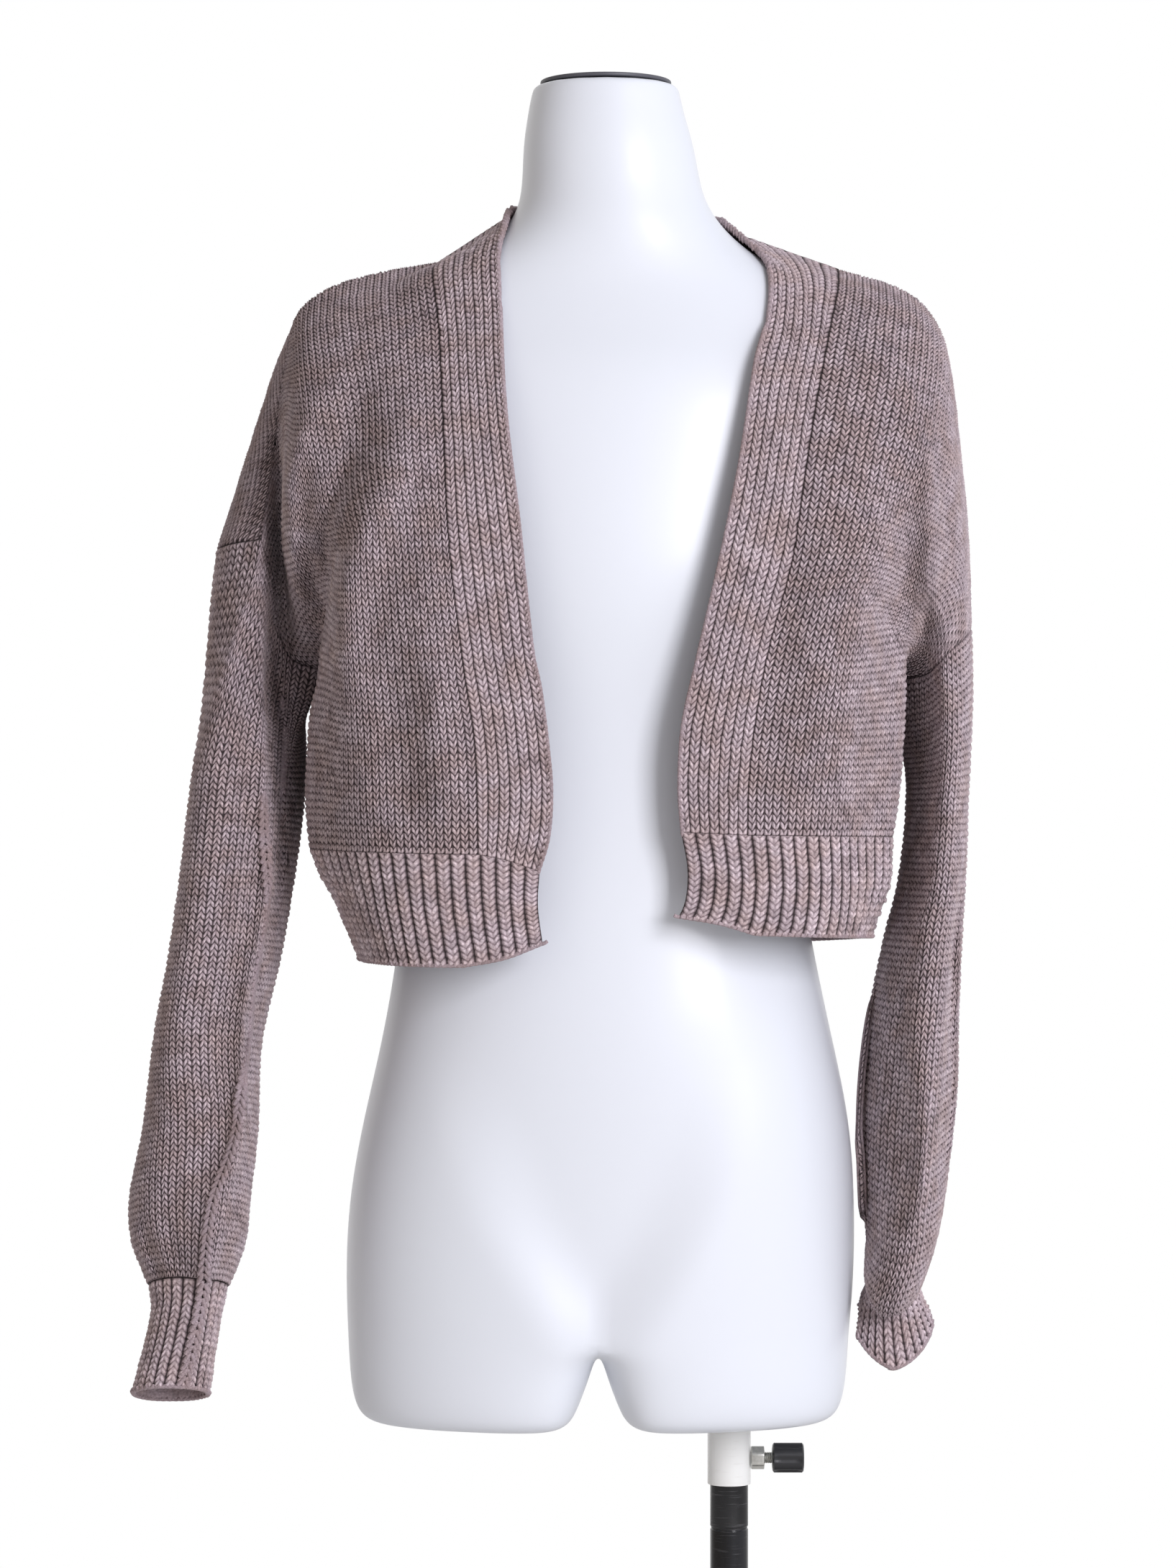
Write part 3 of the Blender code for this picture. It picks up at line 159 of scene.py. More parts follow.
rightSleeve = metres(((1213, 222, 18, 19, 74, 0, 0), (1160, 224, 18, 19, 77, 0, 0),
    (1100, 222, 16, 20.5, 77, 0, 0), (1060, 218.5, 14, 22.5, 74, 0, 0),
    (1030, 213.5, 11, 25.5, 72, 0, 0), (980, 207, 6, 29.5, 67, 0, -3),
    (925, 202.5, 0, 32.2, 63, 0, -7), (875, 198.5, -6, 29.8, 58, 0, -13),
    (838, 198, -10, 24, 52, 4, -22), (815, 194, -14, 20.8, 45, 10, -36),
    (806, 192.5, -12, 18.2, 37, 10, -42), (803.5, 191.5, -6, 17.2, 27, 8, -32)), angles=2)
rightCuff = metres(((803, 191.5, -6, 16.6, 26.4, 8, -32),
    (791, 191.5, -6, 20.5, 31, 5, -37), (776, 192, -8, 26.8, 40, 2, -42)), angles=2)
cuffRoundness = {"left": 2.2, "right": 1.6}
sleeveBlend = 0.26

# Folds: width, the cloth's move along x and y on the fold's line, then the line's x, y, z
folds = {
    "leftChestFold": (13, 4.5, 8, ((-146, -50, 1420), (-158, -85, 1355), (-174, -80, 1310),
        (-184, -55, 1255), (-188, -30, 1215))),
    "leftArmValley": (12, 2, 14, ((-204, -36, 1375), (-206, -42, 1320), (-208, -36, 1270),
        (-208, -44, 1200), (-210, -48, 1165))),
    "leftChestLobe": (12, -4, -5, ((-180, -50, 1405), (-190, -62, 1330),
        (-196, -40, 1260))),
    "leftSideSwell": (26, -5, -2, ((-180, -46, 1200), (-184, -46, 1150), (-182, -46, 1090),
        (-168, -46, 1050))),
    "leftFrontSwell": (30, 0, -6, ((-110, -124, 1290), (-118, -126, 1200),
        (-125, -122, 1120))),
    "leftSleeveRidge": (8, 2, -3.5, ((-214, -66, 1100), (-216, -74, 1050), (-226, -78, 985),
        (-236, -82, 900), (-250, -86, 850), (-255, -82, 805))),
    "leftSleeveBend": (20, 0, 6, ((-268, -52, 930), (-252, -72, 880), (-238, -70, 850))),
    "rightSideSwell": (26, 10.5, -4, ((190, -46, 1300), (190, -46, 1200), (186, -46, 1140),
        (180, -46, 1080), (176, -46, 1030))),
    "rightSideValley": (13, -4, 11, ((196, -50, 1410), (205, -62, 1350), (210, -56, 1290),
        (210, -50, 1240), (206, -40, 1205))),
    "rightFrontSwell": (30, 0, -6, ((150, -110, 1300), (152, -112, 1210),
        (148, -110, 1130))),
    "rightSleeveInner": (13, 4, 10, ((190, -44, 1060), (190, -52, 980), (192, -54, 900),
        (190, -54, 850))),
    "rightSleeveOuter": (11, -3, 7.5, ((236, -30, 1080), (232, -36, 1000), (228, -40, 920),
        (222, -42, 860))),
    "backLeftFold": (22, 0, -8, ((-150, 80, 1390), (-158, 88, 1300), (-164, 80, 1200))),
    "backRightFold": (22, 0, -8, ((165, 80, 1380), (172, 88, 1290), (176, 80, 1190))),
}

# Creases too fine for the solids, in the same columns
creases = {
    "leftArmHollow": (7.5, 1.5, 18, ((-209, -40, 1345), (-208, -36, 1280),
        (-208, -20, 1230), (-209, -14, 1180), (-208, -26, 1130), (-208, -20, 1080),
        (-211, -10, 1030))),
    "leftSleeveLobe": (8, 4, -9, ((-224, -48, 1275), (-222, -40, 1230), (-221, -38, 1180),
        (-220, -48, 1130), (-220, -45, 1080))),
    "leftChestDeep": (8, 1.5, 12, ((-153, -96, 1346), (-171, -94, 1306), (-181, -80, 1257),
        (-185, -60, 1205))),
    "leftLobeCrest": (9, -1, -12, ((-184, -80, 1375), (-194, -70, 1320), (-198, -60, 1270),
        (-199, -34, 1225))),
    "leftChestRidge": (18, 0, -18, ((-118, -112, 1410), (-130, -116, 1330),
        (-150, -108, 1285), (-160, -100, 1235), (-161, -98, 1160))),
    "leftFrontTrough": (18, 0, 8.5, ((-129, -118, 1215), (-126, -120, 1150),
        (-122, -122, 1098))),
    "leftFrontRidge": (12, 0, -5, ((-106, -124, 1215), (-103, -126, 1150),
        (-99, -126, 1105))),
    "leftSleeveSeam": (10, 3, -16, ((-218, -44, 1130), (-216, -36, 1100), (-215, -38, 1053),
        (-224, -50, 994), (-228, -52, 946), (-235, -60, 898), (-247, -70, 863),
        (-252, -68, 827), (-254, -70, 806), (-266, -75, 740))),
    "leftSleeveTrough": (20, 0, 12, ((-246, -68, 1070), (-250, -70, 994), (-254, -72, 946),
        (-261, -74, 898), (-272, -74, 863), (-276, -72, 820))),
    "leftCuffGatherA": (5.5, 0, 6, ((-278, -84, 850), (-275, -80, 825), (-272, -74, 806))),
    "leftCuffGatherB": (5.5, 0, 6, ((-296, -70, 848), (-288, -66, 825), (-283, -62, 806))),
    "rightSleeveDeep": (17, 0, 33, ((170, -20, 1050), (171, -22, 990), (173, -30, 935),
        (174, -36, 886), (172, -36, 853), (164, -30, 828))),
    "rightSleeveRidge": (9, -3, -16, ((199, -40, 1030), (203, -46, 980), (207, -56, 930),
        (208, -58, 886), (204, -57, 853), (194, -56, 828))),
    "rightSleeveEdge": (7, -2, 12, ((231, -26, 1060), (230, -26, 990), (229, -24, 920),
        (224, -28, 865))),
    "rightChestSoft": (16, 0, 8, ((172, -88, 1390), (180, -90, 1345), (186, -90, 1290),
        (190, -74, 1220))),
    "rightLobeCrest": (11, 0, -9, ((206, -80, 1350), (210, -74, 1290), (212, -64, 1235))),
    "rightFrontTrough": (16, 0, 4, ((118, -116, 1300), (112, -116, 1220),
        (104, -118, 1130))),
}

# How closely the cloth is sampled, how often it is smoothed and pushed off the form, and
# how a fold fades in
lattice = {"steps": 112, "relax": 3, "pushes": 4, "longestPush": 0.02, "fadeShare": 0.2,
           "fadeLeast": 0.15}


def stretches(points, axis=0):  # from each point to the next
    return np.linalg.norm(np.diff(points, axis=axis), axis=-1)


def runningTotal(lengths):
    return np.concatenate([[0.0], np.cumsum(lengths)])


def smoothCurve(rows, steps=24):
    rows = np.asarray(rows, float)
    if len(rows) == 2:
        share = np.linspace(0.0, 1.0, steps + 1)[:, None]
        return rows[0] * (1.0 - share) + rows[1] * share
    knot = runningTotal(np.sqrt(np.maximum(stretches(rows[:, :3]), 1e-9)))
    slope = np.gradient(rows, knot, axis=0)
    pieces = []
    for i in range(len(rows) - 1):
        span = knot[i + 1] - knot[i]
        share = np.linspace(0.0, 1.0, steps, endpoint=False)[:, None]
        pieces.append(
            rows[i] * (2 * share**3 - 3 * share**2 + 1)
            + slope[i] * span * (share**3 - 2 * share**2 + share)
            + rows[i + 1] * (3 * share**2 - 2 * share**3)
            + slope[i + 1] * span * (share**3 - share**2))
    pieces.append(rows[-1:])
    return np.vstack(pieces)


def byLength(points):  # a curve as its shares of length and its points
    length = runningTotal(stretches(points))
    return length / length[-1], points


def curveOf(rows):
    return byLength(smoothCurve(rows))


def readCurve(line, share):
    return np.stack([np.interp(share, line[0], line[1][:, k]) for k in range(3)], axis=-1)


def joined(*lines):
    return byLength(np.vstack([lines[0][1]] + [line[1][1:] for line in lines[1:]]))


def turnedBack(line):
    return 1.0 - line[0][::-1], line[1][::-1]


def lengthOf(line):
    return float(stretches(line[1]).sum())


def quarterRound(start, end, steps=32):  # a rounded section from the front to the side
    angle = np.linspace(0.0, math.pi / 2, steps + 1)
    across = np.sin(angle) ** (2.0 / sectionRoundness)
    depth = 1.0 - np.cos(angle) ** (2.0 / sectionRoundness)
    weights = np.stack([across, depth, angle / angle[-1]], axis=-1)
    start, end = np.asarray(start), np.asarray(end)
    return byLength(start + (end - start) * weights)


def unit(vectors):
    size = np.linalg.norm(vectors, axis=-1, keepdims=True)
    return vectors / np.maximum(size, 1e-12)


def eased(share):  # from 0 to 1 with a level start and end
    return share * share * (3 - 2 * share)


def onceSubdivided(rows):
    halfway = (rows[1:] + rows[:-1]) / 2
    kept = rows.copy()
    kept[1:-1] = rows[1:-1] * 0.75 + (rows[:-2] + rows[2:]) * 0.125
    return np.vstack([np.column_stack([kept[:-1], halfway]).reshape(-1, 5), kept[-1:]])


formCurve = onceSubdivided(formSections)[::-1]


def formLevel(points):  # how far points lie from the form, about, and the way out
    def level(p):
        middle, half, front, back = (
            np.interp(p[:, 2], formCurve[:, 0], formCurve[:, k]) for k in range(1, 5))
        across = np.abs(p[:, 0] - middle) / half
        deep = np.abs(p[:, 1]) / np.where(p[:, 1] < 0, front, back)
        return (across**formRoundness + deep**formRoundness) ** (1 / formRoundness) - 1.0

    here = level(points)
    step = 1e-4
    slope = np.stack([(level(points + step * axis) - here) / step
                      for axis in np.eye(3)], axis=-1)
    size = np.maximum(np.linalg.norm(slope, axis=-1), 1e-6)
    return here / size, slope / size[:, None]


def clearOfForm(points, distance):
    flat = points.reshape(-1, 3).copy()
    for _ in range(lattice["pushes"]):
        gap, out = formLevel(flat)
        short = np.maximum(distance - gap, 0.0)
        short[flat[:, 2] > neckTop] = 0.0
        flat += out * np.minimum(short, lattice["longestPush"])[:, None]
    return flat.reshape(points.shape)


def folded(points):
    moved = points.copy()
    for width, moveX, moveY, rows in [*folds.values(), *creases.values()]:
        line = smoothCurve(metres(rows), 6)
        distance = np.linalg.norm(points[..., None, :] - line, axis=-1)
        share = distance.argmin(axis=-1) / (len(line) - 1)
        fade = np.clip(np.minimum(share, 1 - share) / lattice["fadeShare"], 0, 1)
        fade = lattice["fadeLeast"] + (1 - lattice["fadeLeast"]) * eased(fade)
        pull = fade * np.exp(-((distance.min(axis=-1) / (width / 1000)) ** 2))
        moved[..., 0] += moveX / 1000 * pull
        moved[..., 1] += moveY / 1000 * pull
    return moved


def nodesFor(*marks):  # shares from 0 to 1 with a node on each mark
    stops = [0.0, *marks, 1.0]
    spans = [np.linspace(low, high, max(2, round((high - low) * lattice["steps"])),
                         endpoint=False) for low, high in zip(stops, stops[1:])]
    return np.concatenate([*spans, [1.0]])


evenNodes = nodesFor()


class Surface:  # a lattice of the cloth's outer face, its rows at shares s, columns at t
    def __init__(self, points, s, t, outward, around=False):
        self.points, self.s, self.t = points, s, t
        self.outward, self.around = outward, around
        self.out = self.directions()

    def directions(self):
        points = self.points
        if self.around:
            ring = points[:, :-1]
            across = np.roll(ring, -1, axis=1) - np.roll(ring, 1, axis=1)
            across = np.concatenate([across, across[:, :1]], axis=1)
        else:
            across = np.gradient(points, axis=1)
        return unit(np.cross(across, np.gradient(points, axis=0))) * self.outward

    def relax(self):
        points = self.points
        if self.around:
            ring = points[:, :-1]
            beside = (np.roll(ring, 1, axis=1) + np.roll(ring, -1, axis=1)) / 2
            beside = np.concatenate([beside, beside[:, :1]], axis=1)[1:-1]
            points[1:-1] = points[1:-1] / 2 + (beside + (points[:-2] + points[2:]) / 2) / 4
        else:
            near = (points[1:-1, :-2] + points[1:-1, 2:] + points[:-2, 1:-1]
                    + points[2:, 1:-1])
            points[1:-1, 1:-1] = points[1:-1, 1:-1] / 2 + near / 8

    def shape(self):
        self.points = clearOfForm(folded(self.points), wall + formGap)
        for _ in range(lattice["relax"]):
            self.relax()
            self.points = clearOfForm(self.points, wall + formGap)
        self.out = self.directions()

    def border(self):  # row and column of the lattice's edge points
        rows, cols = self.points.shape[:2]
        slots = [(r, c) for r in (0, rows - 1) for c in range(cols)]
        if not self.around:
            slots += [(r, c) for c in (0, cols - 1) for r in range(1, rows - 1)]
        return np.array(slots)


def easeBy(power):  # how fast a patch leaves its low edge for its high one
    return lambda share: share**power


def pullBy(power):  # how far in from its near and far edges a patch still follows them
    return lambda share: ((1.0 - share) ** power, share**power)


even, late, later = (easeBy(power) for power in (1.0, 3.0, 4.0))
ruled, edgesMostly, edgesOnly = (pullBy(power) for power in (1, 3, 6))


def roundedX(share):
    far = np.sin(share * math.pi / 2) ** (2.0 / sectionRoundness)
    return 1.0 - far, far


def roundedY(share):
    near = np.cos(share * math.pi / 2) ** (2.0 / sectionRoundness)
    return near, 1.0 - near


def patch(near, far, low, high, outward, across=(ruled,) * 3, rise=(even,) * 3,
          s=evenNodes, t=evenNodes):
    # a surface from low to high; near and far draw it to them, by each axis's own pull
    nearPoints, farPoints = readCurve(near, s), readCurve(far, s)
    lowPoints, highPoints = readCurve(low, t), readCurve(high, t)
    points = np.zeros((len(s), len(t), 3))
    for k in range(3):
        nearPull, farPull = across[k](t)
        a = rise[k](s)[:, None]
        run = lowPoints[None, :, k] * (1 - a) + highPoints[None, :, k] * a
        for edge, pull, corner in ((nearPoints, nearPull, 0), (farPoints, farPull, -1)):
            chord = lowPoints[corner, k] * (1 - a[:, 0]) + highPoints[corner, k] * a[:, 0]
            run = run + (edge[:, k] - chord)[:, None] * pull[None, :]
        points[..., k] = run
    return Surface(points, s, t, outward)


def sleeveRing(row, inner, roundness, t):  # from the side next to the body over the front
    height, middleX, middleY, halfX, halfY, turn, tilt = row
    angle = np.linspace(0.0, 2 * math.pi, 97)
    c, s = np.cos(angle), np.sin(angle)
    x = inner * halfX * np.copysign(np.abs(c) ** (2 / roundness), c)
    y = -halfY * np.copysign(np.abs(s) ** (2 / roundness), s)
    turned = math.radians(turn) * inner
    px = x * math.cos(turned) - y * math.sin(turned)
    py = x * math.sin(turned) + y * math.cos(turned)
    lift = math.radians(tilt)
    ring = np.stack([px, py * math.cos(lift), -py * math.sin(lift)], axis=-1)
    return readCurve(byLength(ring), t) + (middleX, middleY, height)


def tube(rows, inner, armhole=None, t=evenNodes, endRoundness=2.0):
    rows = smoothCurve(rows, 16)
    roundness = np.linspace(2.0, endRoundness, len(rows))
    rings = np.array([sleeveRing(row, inner, own, t) for row, own in zip(rows, roundness)])
    length = runningTotal(stretches(rings).mean(axis=1))
    s = evenNodes
    flat = rings.reshape(len(rings), -1)
    evenRows = [np.interp(s, length / length[-1], column) for column in flat.T]
    points = np.stack(evenRows, axis=1).reshape(len(s), len(t), 3)
    if armhole is not None:
        loop = readCurve(armhole, t)
        middle = loop[:-1].mean(axis=0)
        start = points[0, :-1].mean(axis=0)
        for i, share in enumerate(s):
            own = eased(min(share / sleeveBlend, 1.0))
            shifted = loop - middle + points[i, :-1].mean(axis=0)
            shifted = shifted + (middle - start) * (1 - own)
            points[i] = shifted * (1 - own) + points[i] * own
    return Surface(points, s, t, inner, around=True)


def halfLines(half):
    lines = {name: curveOf(rows) for name, rows in half.items() if len(np.shape(rows)) == 2}
    lines["ribTopSide"] = quarterRound(lines["bandLine"][1][0], half["side"][0])
    lines["hemLine"] = joined(lines["hem"], quarterRound(half["hem"][-1], half["hemSide"]))
    lines["hemSideLine"] = curveOf((half["hemSide"], half["side"][0]))
    lines["ribLine"] = joined(lines["ribTop"], lines["ribTopSide"])
    lines["far"] = joined(lines["side"], lines["armFront"])
    lines["farBack"] = joined(lines["side"], lines["armBack"])
    return lines


def halfSurfaces(side, half, lines):
    left = side == "left"
    outward, inner = (-1, 1) if left else (1, -1)
    sideShare = lengthOf(lines["side"]) / lengthOf(lines["far"])
    front = patch(lines["bandLine"], lines["far"], lines["ribTopSide"], lines["shoulder"],
                  outward, (roundedX, roundedY, ruled), (even, late, even),
                  nodesFor(sideShare))
    bandTop = curveOf((half["frontEdge"][-1], half["bandLine"][-1]))
    band = patch(lines["frontEdge"], lines["bandLine"], lines["ribTop"], bandTop, outward)
    hem = patch(lines["hemEdge"], lines["hemSideLine"], lines["hemLine"], lines["ribLine"],
                outward)
    armhole = joined(lines["armFront"], turnedBack(lines["armBack"]))
    joint = lengthOf(lines["armFront"]) / lengthOf(armhole)
    sleeve = tube(leftSleeve if left else rightSleeve, inner, armhole, nodesFor(joint))
    cuff = tube(leftCuff if left else rightCuff, inner, endRoundness=cuffRoundness[side])
    return {f"front_{side}": front, f"front_band_{side}": band,
            f"hem_rib_front_{side}": hem, f"sleeve_{side}": sleeve, f"cuff_{side}": cuff}


def backSurfaces(left, right):
    neckline = curveOf((leftHalf["shoulder"][0], *backNeckline, rightHalf["shoulder"][0]))
    high = joined(turnedBack(left["shoulder"]), neckline, right["shoulder"])
    ribTop = joined(turnedBack(quarterRound(backRibTop, leftHalf["side"][0])),
                    quarterRound(backRibTop, rightHalf["side"][0]))
    hemLine = joined(turnedBack(quarterRound(backHem, leftHalf["hemSide"])),
                     quarterRound(backHem, rightHalf["hemSide"]))
    spans = [lengthOf(line) for line in (left["shoulder"], neckline, right["shoulder"])]
    marks = runningTotal(spans) / sum(spans)
    sideShare = lengthOf(left["side"]) / lengthOf(left["farBack"])
    back = patch(left["farBack"], right["farBack"], ribTop, high, -1,
                 (edgesMostly, edgesOnly, edgesMostly), (even, later, even),
                 nodesFor(sideShare), nodesFor(marks[1], marks[2]))
    hem = patch(left["hemSideLine"], right["hemSideLine"], hemLine, ribTop, -1)
    neckEdge = curveOf((leftHalf["frontEdge"][-1], leftHalf["neckBack"], backNeckMiddle,
                        rightHalf["neckBack"], rightHalf["frontEdge"][-1]))
    leftEnd, rightEnd = (curveOf((half["frontEdge"][-1], half["shoulder"][0]))
                         for half in (leftHalf, rightHalf))
    neck = patch(leftEnd, rightEnd, neckEdge, neckline, 1)
    return {"back": back, "hem_rib_back": hem, "back_neck_band": neck}


def shareDirections(surfaces, reach=0.006, depth=4):
    # pieces that meet at a seam get one way out of it, so their walls join there
    borders = []
    for surface in surfaces:
        slots = surface.border()
        borders.append((surface, slots, surface.points[slots[:, 0], slots[:, 1]],
                        surface.out[slots[:, 0], slots[:, 1]].copy()))
    for surface, slots, spots, outs in borders:
        total = outs.copy()
        for other, _, otherSpots, otherOuts in borders:
            if other is surface:
                continue
            distance = np.linalg.norm(spots[:, None] - otherSpots[None], axis=-1)
            nearest = distance.argmin(axis=1)
            met = distance.min(axis=1) < reach
            total[met] += otherOuts[nearest[met]]
        shared = unit(total)
        rows, cols = surface.points.shape[:2]
        for (r, c), way in zip(slots, shared):
            stepR = 1 if r == 0 else -1 if r == rows - 1 else 0
            stepC = 0 if stepR or surface.around else 1 if c == 0 else -1
            for k in range(depth):
                slot = (r + stepR * k, c + stepC * k)
                own = k / depth
                surface.out[slot] = unit(surface.out[slot] * own + way * (1 - own))


leftLines, rightLines = halfLines(leftHalf), halfLines(rightHalf)
surfaces = {**halfSurfaces("left", leftHalf, leftLines),
            **halfSurfaces("right", rightHalf, rightLines),
            **backSurfaces(leftLines, rightLines)}
for surface in surfaces.values():
    surface.shape()
shareDirections(list(surfaces.values()))
print("cloth surfaces:", len(surfaces))


def linear(hexColour):  # an sRGB hex value as linear red, green, blue and alpha
    values = [int(hexColour[i:i + 2], 16) / 255 for i in (1, 3, 5)]
    return (*[v / 12.92 if v <= 0.04045 else ((v + 0.055) / 1.055) ** 2.4 for v in values],
            1.0)


def setInputs(tree, node, inputs):
    # by name or by place, each from a value, a socket, or a node's first output
    for name, value in inputs.items() if isinstance(inputs, dict) else enumerate(inputs):
        if isinstance(value, bpy.types.Node):
            value = value.outputs[0]
        if isinstance(value, bpy.types.NodeSocket):
            tree.links.new(value, node.inputs[name])
        else:
            node.inputs[name].default_value = value


def addNode(tree, kind, inputs=(), **settings):  # a node with its settings and links
    node = tree.nodes.new(kind)
    for name, value in settings.items():
        setattr(node, name, value)
    setInputs(tree, node, inputs)
    return node


def setRamp(node, *stops):
    ramp = node.color_ramp
    while len(ramp.elements) < len(stops):
        ramp.elements.new(0.5)
    for element, (position, colour) in zip(ramp.elements, stops):
        element.position = position
        element.color = colour


def newMaterial(name):  # and the place on the object, which all but the floor's paint use
    material = bpy.data.materials.new(name)
    material.use_nodes = True
    tree = material.node_tree
    place = addNode(tree, "ShaderNodeTexCoord").outputs["Object"]
    return material, tree, tree.nodes["Principled BSDF"], place


# the crest colour is painted light on the stitches' tops, the valley colour painted shade
# in their hollows
yarn = {
    "crest": "#CFBFC4", "middle": "#9A8A8F", "valley": "#332829", "browner": "#F2ECE5",
    "bloom": "#D9CCCB", "plyMm": 1.3, "blotchMm": 18.0, "roughness": 0.92, "sheen": 0.15,
}


def knittedYarn(name):
    # Acrylic and cotton yarn, spun and knitted: matt, with a soft bloom at grazing angles,
    # heathered from loop to loop, with painted shade where one loop goes in under the next
    # and painted light on the loops' crests
    material, tree, shader, place = newMaterial(name)
    # painted shade: a value per point, 0 in a stitch's valley and 1 on its crest, runs the
    # colour from dark valley to light crest
    reliefShade = addNode(tree, "ShaderNodeAttribute", attribute_name="reliefShade").outputs["Fac"]
    stitch = addNode(tree, "ShaderNodeUVMap", uv_map="stitch")
    depth = addNode(tree, "ShaderNodeValToRGB", {"Fac": reliefShade})
    setRamp(depth, (0.0, linear(yarn["valley"])), (0.42, linear(yarn["middle"])),
            (1.0, linear(yarn["crest"])))
    loops = addNode(tree, "ShaderNodeTexNoise", {
        "Vector": stitch, "Scale": 1.3, "Detail": 1.0}, noise_dimensions="2D")
    blotch, plies = (addNode(tree, "ShaderNodeTexNoise", {
        "Vector": place, "Scale": 1000.0 / yarn[size], "Detail": 2.0})
        for size in ("blotchMm", "plyMm"))
    brown = addNode(tree, "ShaderNodeMapRange", [blotch, 0.38, 0.66])
    tint = addNode(tree, "ShaderNodeMix", {0: brown, 6: depth, 7: linear(yarn["browner"])},
                   data_type="RGBA", blend_type="MULTIPLY").outputs[2]
    level = 1.0
    # the loops and plies vary the tone at random; the last factor is more painted shade,
    # darker in the valleys
    for share in ((loops, 0.3, 0.7, 0.86, 1.10), (plies, 0.3, 0.7, 0.72, 1.24),
                  (reliefShade, 0.0, 0.45, 0.36, 1.0)):
        grainAndShade = addNode(tree, "ShaderNodeMapRange", share)
        level = addNode(tree, "ShaderNodeMath", [level, grainAndShade], operation="MULTIPLY")
    colour = addNode(tree, "ShaderNodeVectorMath", {"Vector": tint, "Scale": level},
                     operation="SCALE")
    bump = addNode(tree, "ShaderNodeBump", {
        "Height": plies, "Strength": 0.55, "Distance": 0.0006})
    setInputs(tree, shader, {
        "Base Color": colour, "Normal": bump, "Roughness": yarn["roughness"], "IOR": 1.45,
        "Specular IOR Level": 0.25, "Sheen Weight": yarn["sheen"], "Sheen Roughness": 0.5,
        "Sheen Tint": linear(yarn["bloom"])})
    return material


def meshFrom(name, points, loops, counts):
    mesh = bpy.data.meshes.new(name)
    mesh.vertices.add(len(points))
    mesh.vertices.foreach_set("co", np.asarray(points, np.float32).ravel())
    mesh.loops.add(len(loops))
    mesh.loops.foreach_set("vertex_index", np.asarray(loops, np.int32))
    mesh.polygons.add(len(counts))
    mesh.polygons.foreach_set("loop_start", (np.cumsum(counts) - counts).astype(np.int32))
    mesh.update(calc_edges=True)
    mesh.polygons.foreach_set("use_smooth", np.full(len(counts), True))
    return mesh


# painted shade: the stored value sets how dark the yarn's colour is painted, 0 darkest in a
# valley, 1 lightest on a crest
def setReliefShade(mesh, reliefShade):  # what the yarn's material reads: 0 in a valley, 1 on a crest
    mark = mesh.attributes.new("reliefShade", "FLOAT", "POINT")
    mark.data.foreach_set("value", reliefShade.astype(np.float32))


def cubicShares(knots, shares, around):
    spans = len(knots) - 1
    i = np.clip(np.searchsorted(knots, shares, "right") - 1, 0, spans - 1)
    f = (shares - knots[i]) / (knots[i + 1] - knots[i])
    weights = (-f**3 / 2 + f**2 - f / 2, 1.5 * f**3 - 2.5 * f**2 + 1,
               -1.5 * f**3 + 2 * f**2 + f / 2, f**3 / 2 - f**2 / 2)
    if around:
        slots = [(i + k) % spans for k in (-1, 0, 1, 2)]
    else:
        slots = [np.clip(i + k, 0, spans) for k in (-1, 0, 1, 2)]
    return slots, weights


def smoothed(values, reach):  # the mean with as many neighbours on each side
    count = 2 * reach + 1
    return np.convolve(np.pad(values, reach, mode="edge"), np.ones(count) / count, "valid")


edgeShare = 0.0011  # a stitch this close to a panel's end is taken to be on it


class Knit:  # a surface read at stitches: wales u across, courses v along
    def __init__(self, surface, settings):
        self.surface, self.settings = surface, settings
        points, out = surface.points, surface.out
        ring = slice(None, -1) if surface.around else slice(None)
        self.points, self.out = points[:, ring], out[:, ring]
        self.long = smoothed(stretches(points, 0).sum(axis=0), 6)
        self.wide = smoothed(stretches(points, 1).sum(axis=1), 6)
        if settings["wales"]:  # as many wales on every row, and courses on every wale
            self.long[:] = round(self.long.mean() / settings["course"]) * settings["course"]
            self.wide[:] = settings["wales"] * settings["wale"]
        self.start = 0.5 if settings["middle"] else 0.0  # where the wales are counted from
        self.high = self.wide.max() / settings["wale"] * (1 - self.start)
        self.low = -self.high if settings["middle"] else 0.0

    def walesAt(self, s):
        return np.interp(s, self.surface.s, self.wide) / self.settings["wale"]

    def coursesAt(self, t):
        return np.interp(t, self.surface.t, self.long) / self.settings["course"]

    def place(self, u, v, straight):
        # shares s and t of the stitches at u and v; straight is v without its slant
        s = np.clip(v / self.coursesAt(0.5), 0, 1)
        for _ in range(4):  # s and t depend on each other, and settle quickly
            t = self.start + u / self.walesAt(s)
            s = np.clip(v / self.coursesAt(np.clip(t, 0, 1)), 0, 1)
        if self.surface.around:
            return s, t
        for edge in (0.0, 1.0):
            past = t < -1e-7 if edge == 0 else t > 1 + 1e-7
            onward = slice(None, None, -1 if edge == 0 else 1)
            past = np.maximum.accumulate(past[:, onward], axis=1)[:, onward]
            s = np.where(past, np.clip(straight / self.coursesAt(edge), 0, 1), s)
            t = np.where(past, edge, t)
        s = np.where(s > 1 - edgeShare, 1.0, s)
        t = np.clip(np.where(s == 1.0, self.start + u / self.walesAt(1.0), t), 0, 1)
        return s, t

    def read(self, s, t):
        slotsS, weightsS = cubicShares(self.surface.s, s, False)
        slotsT, weightsT = cubicShares(self.surface.t, t, self.surface.around)
        points = np.zeros((*np.shape(s), 3))
        out = np.zeros_like(points)
        for k, a in zip(slotsS, weightsS):
            for m, b in zip(slotsT, weightsT):
                points += self.points[k, m] * (a * b)[..., None]
                out += self.out[k, m] * (a * b)[..., None]
        return points, unit(out)


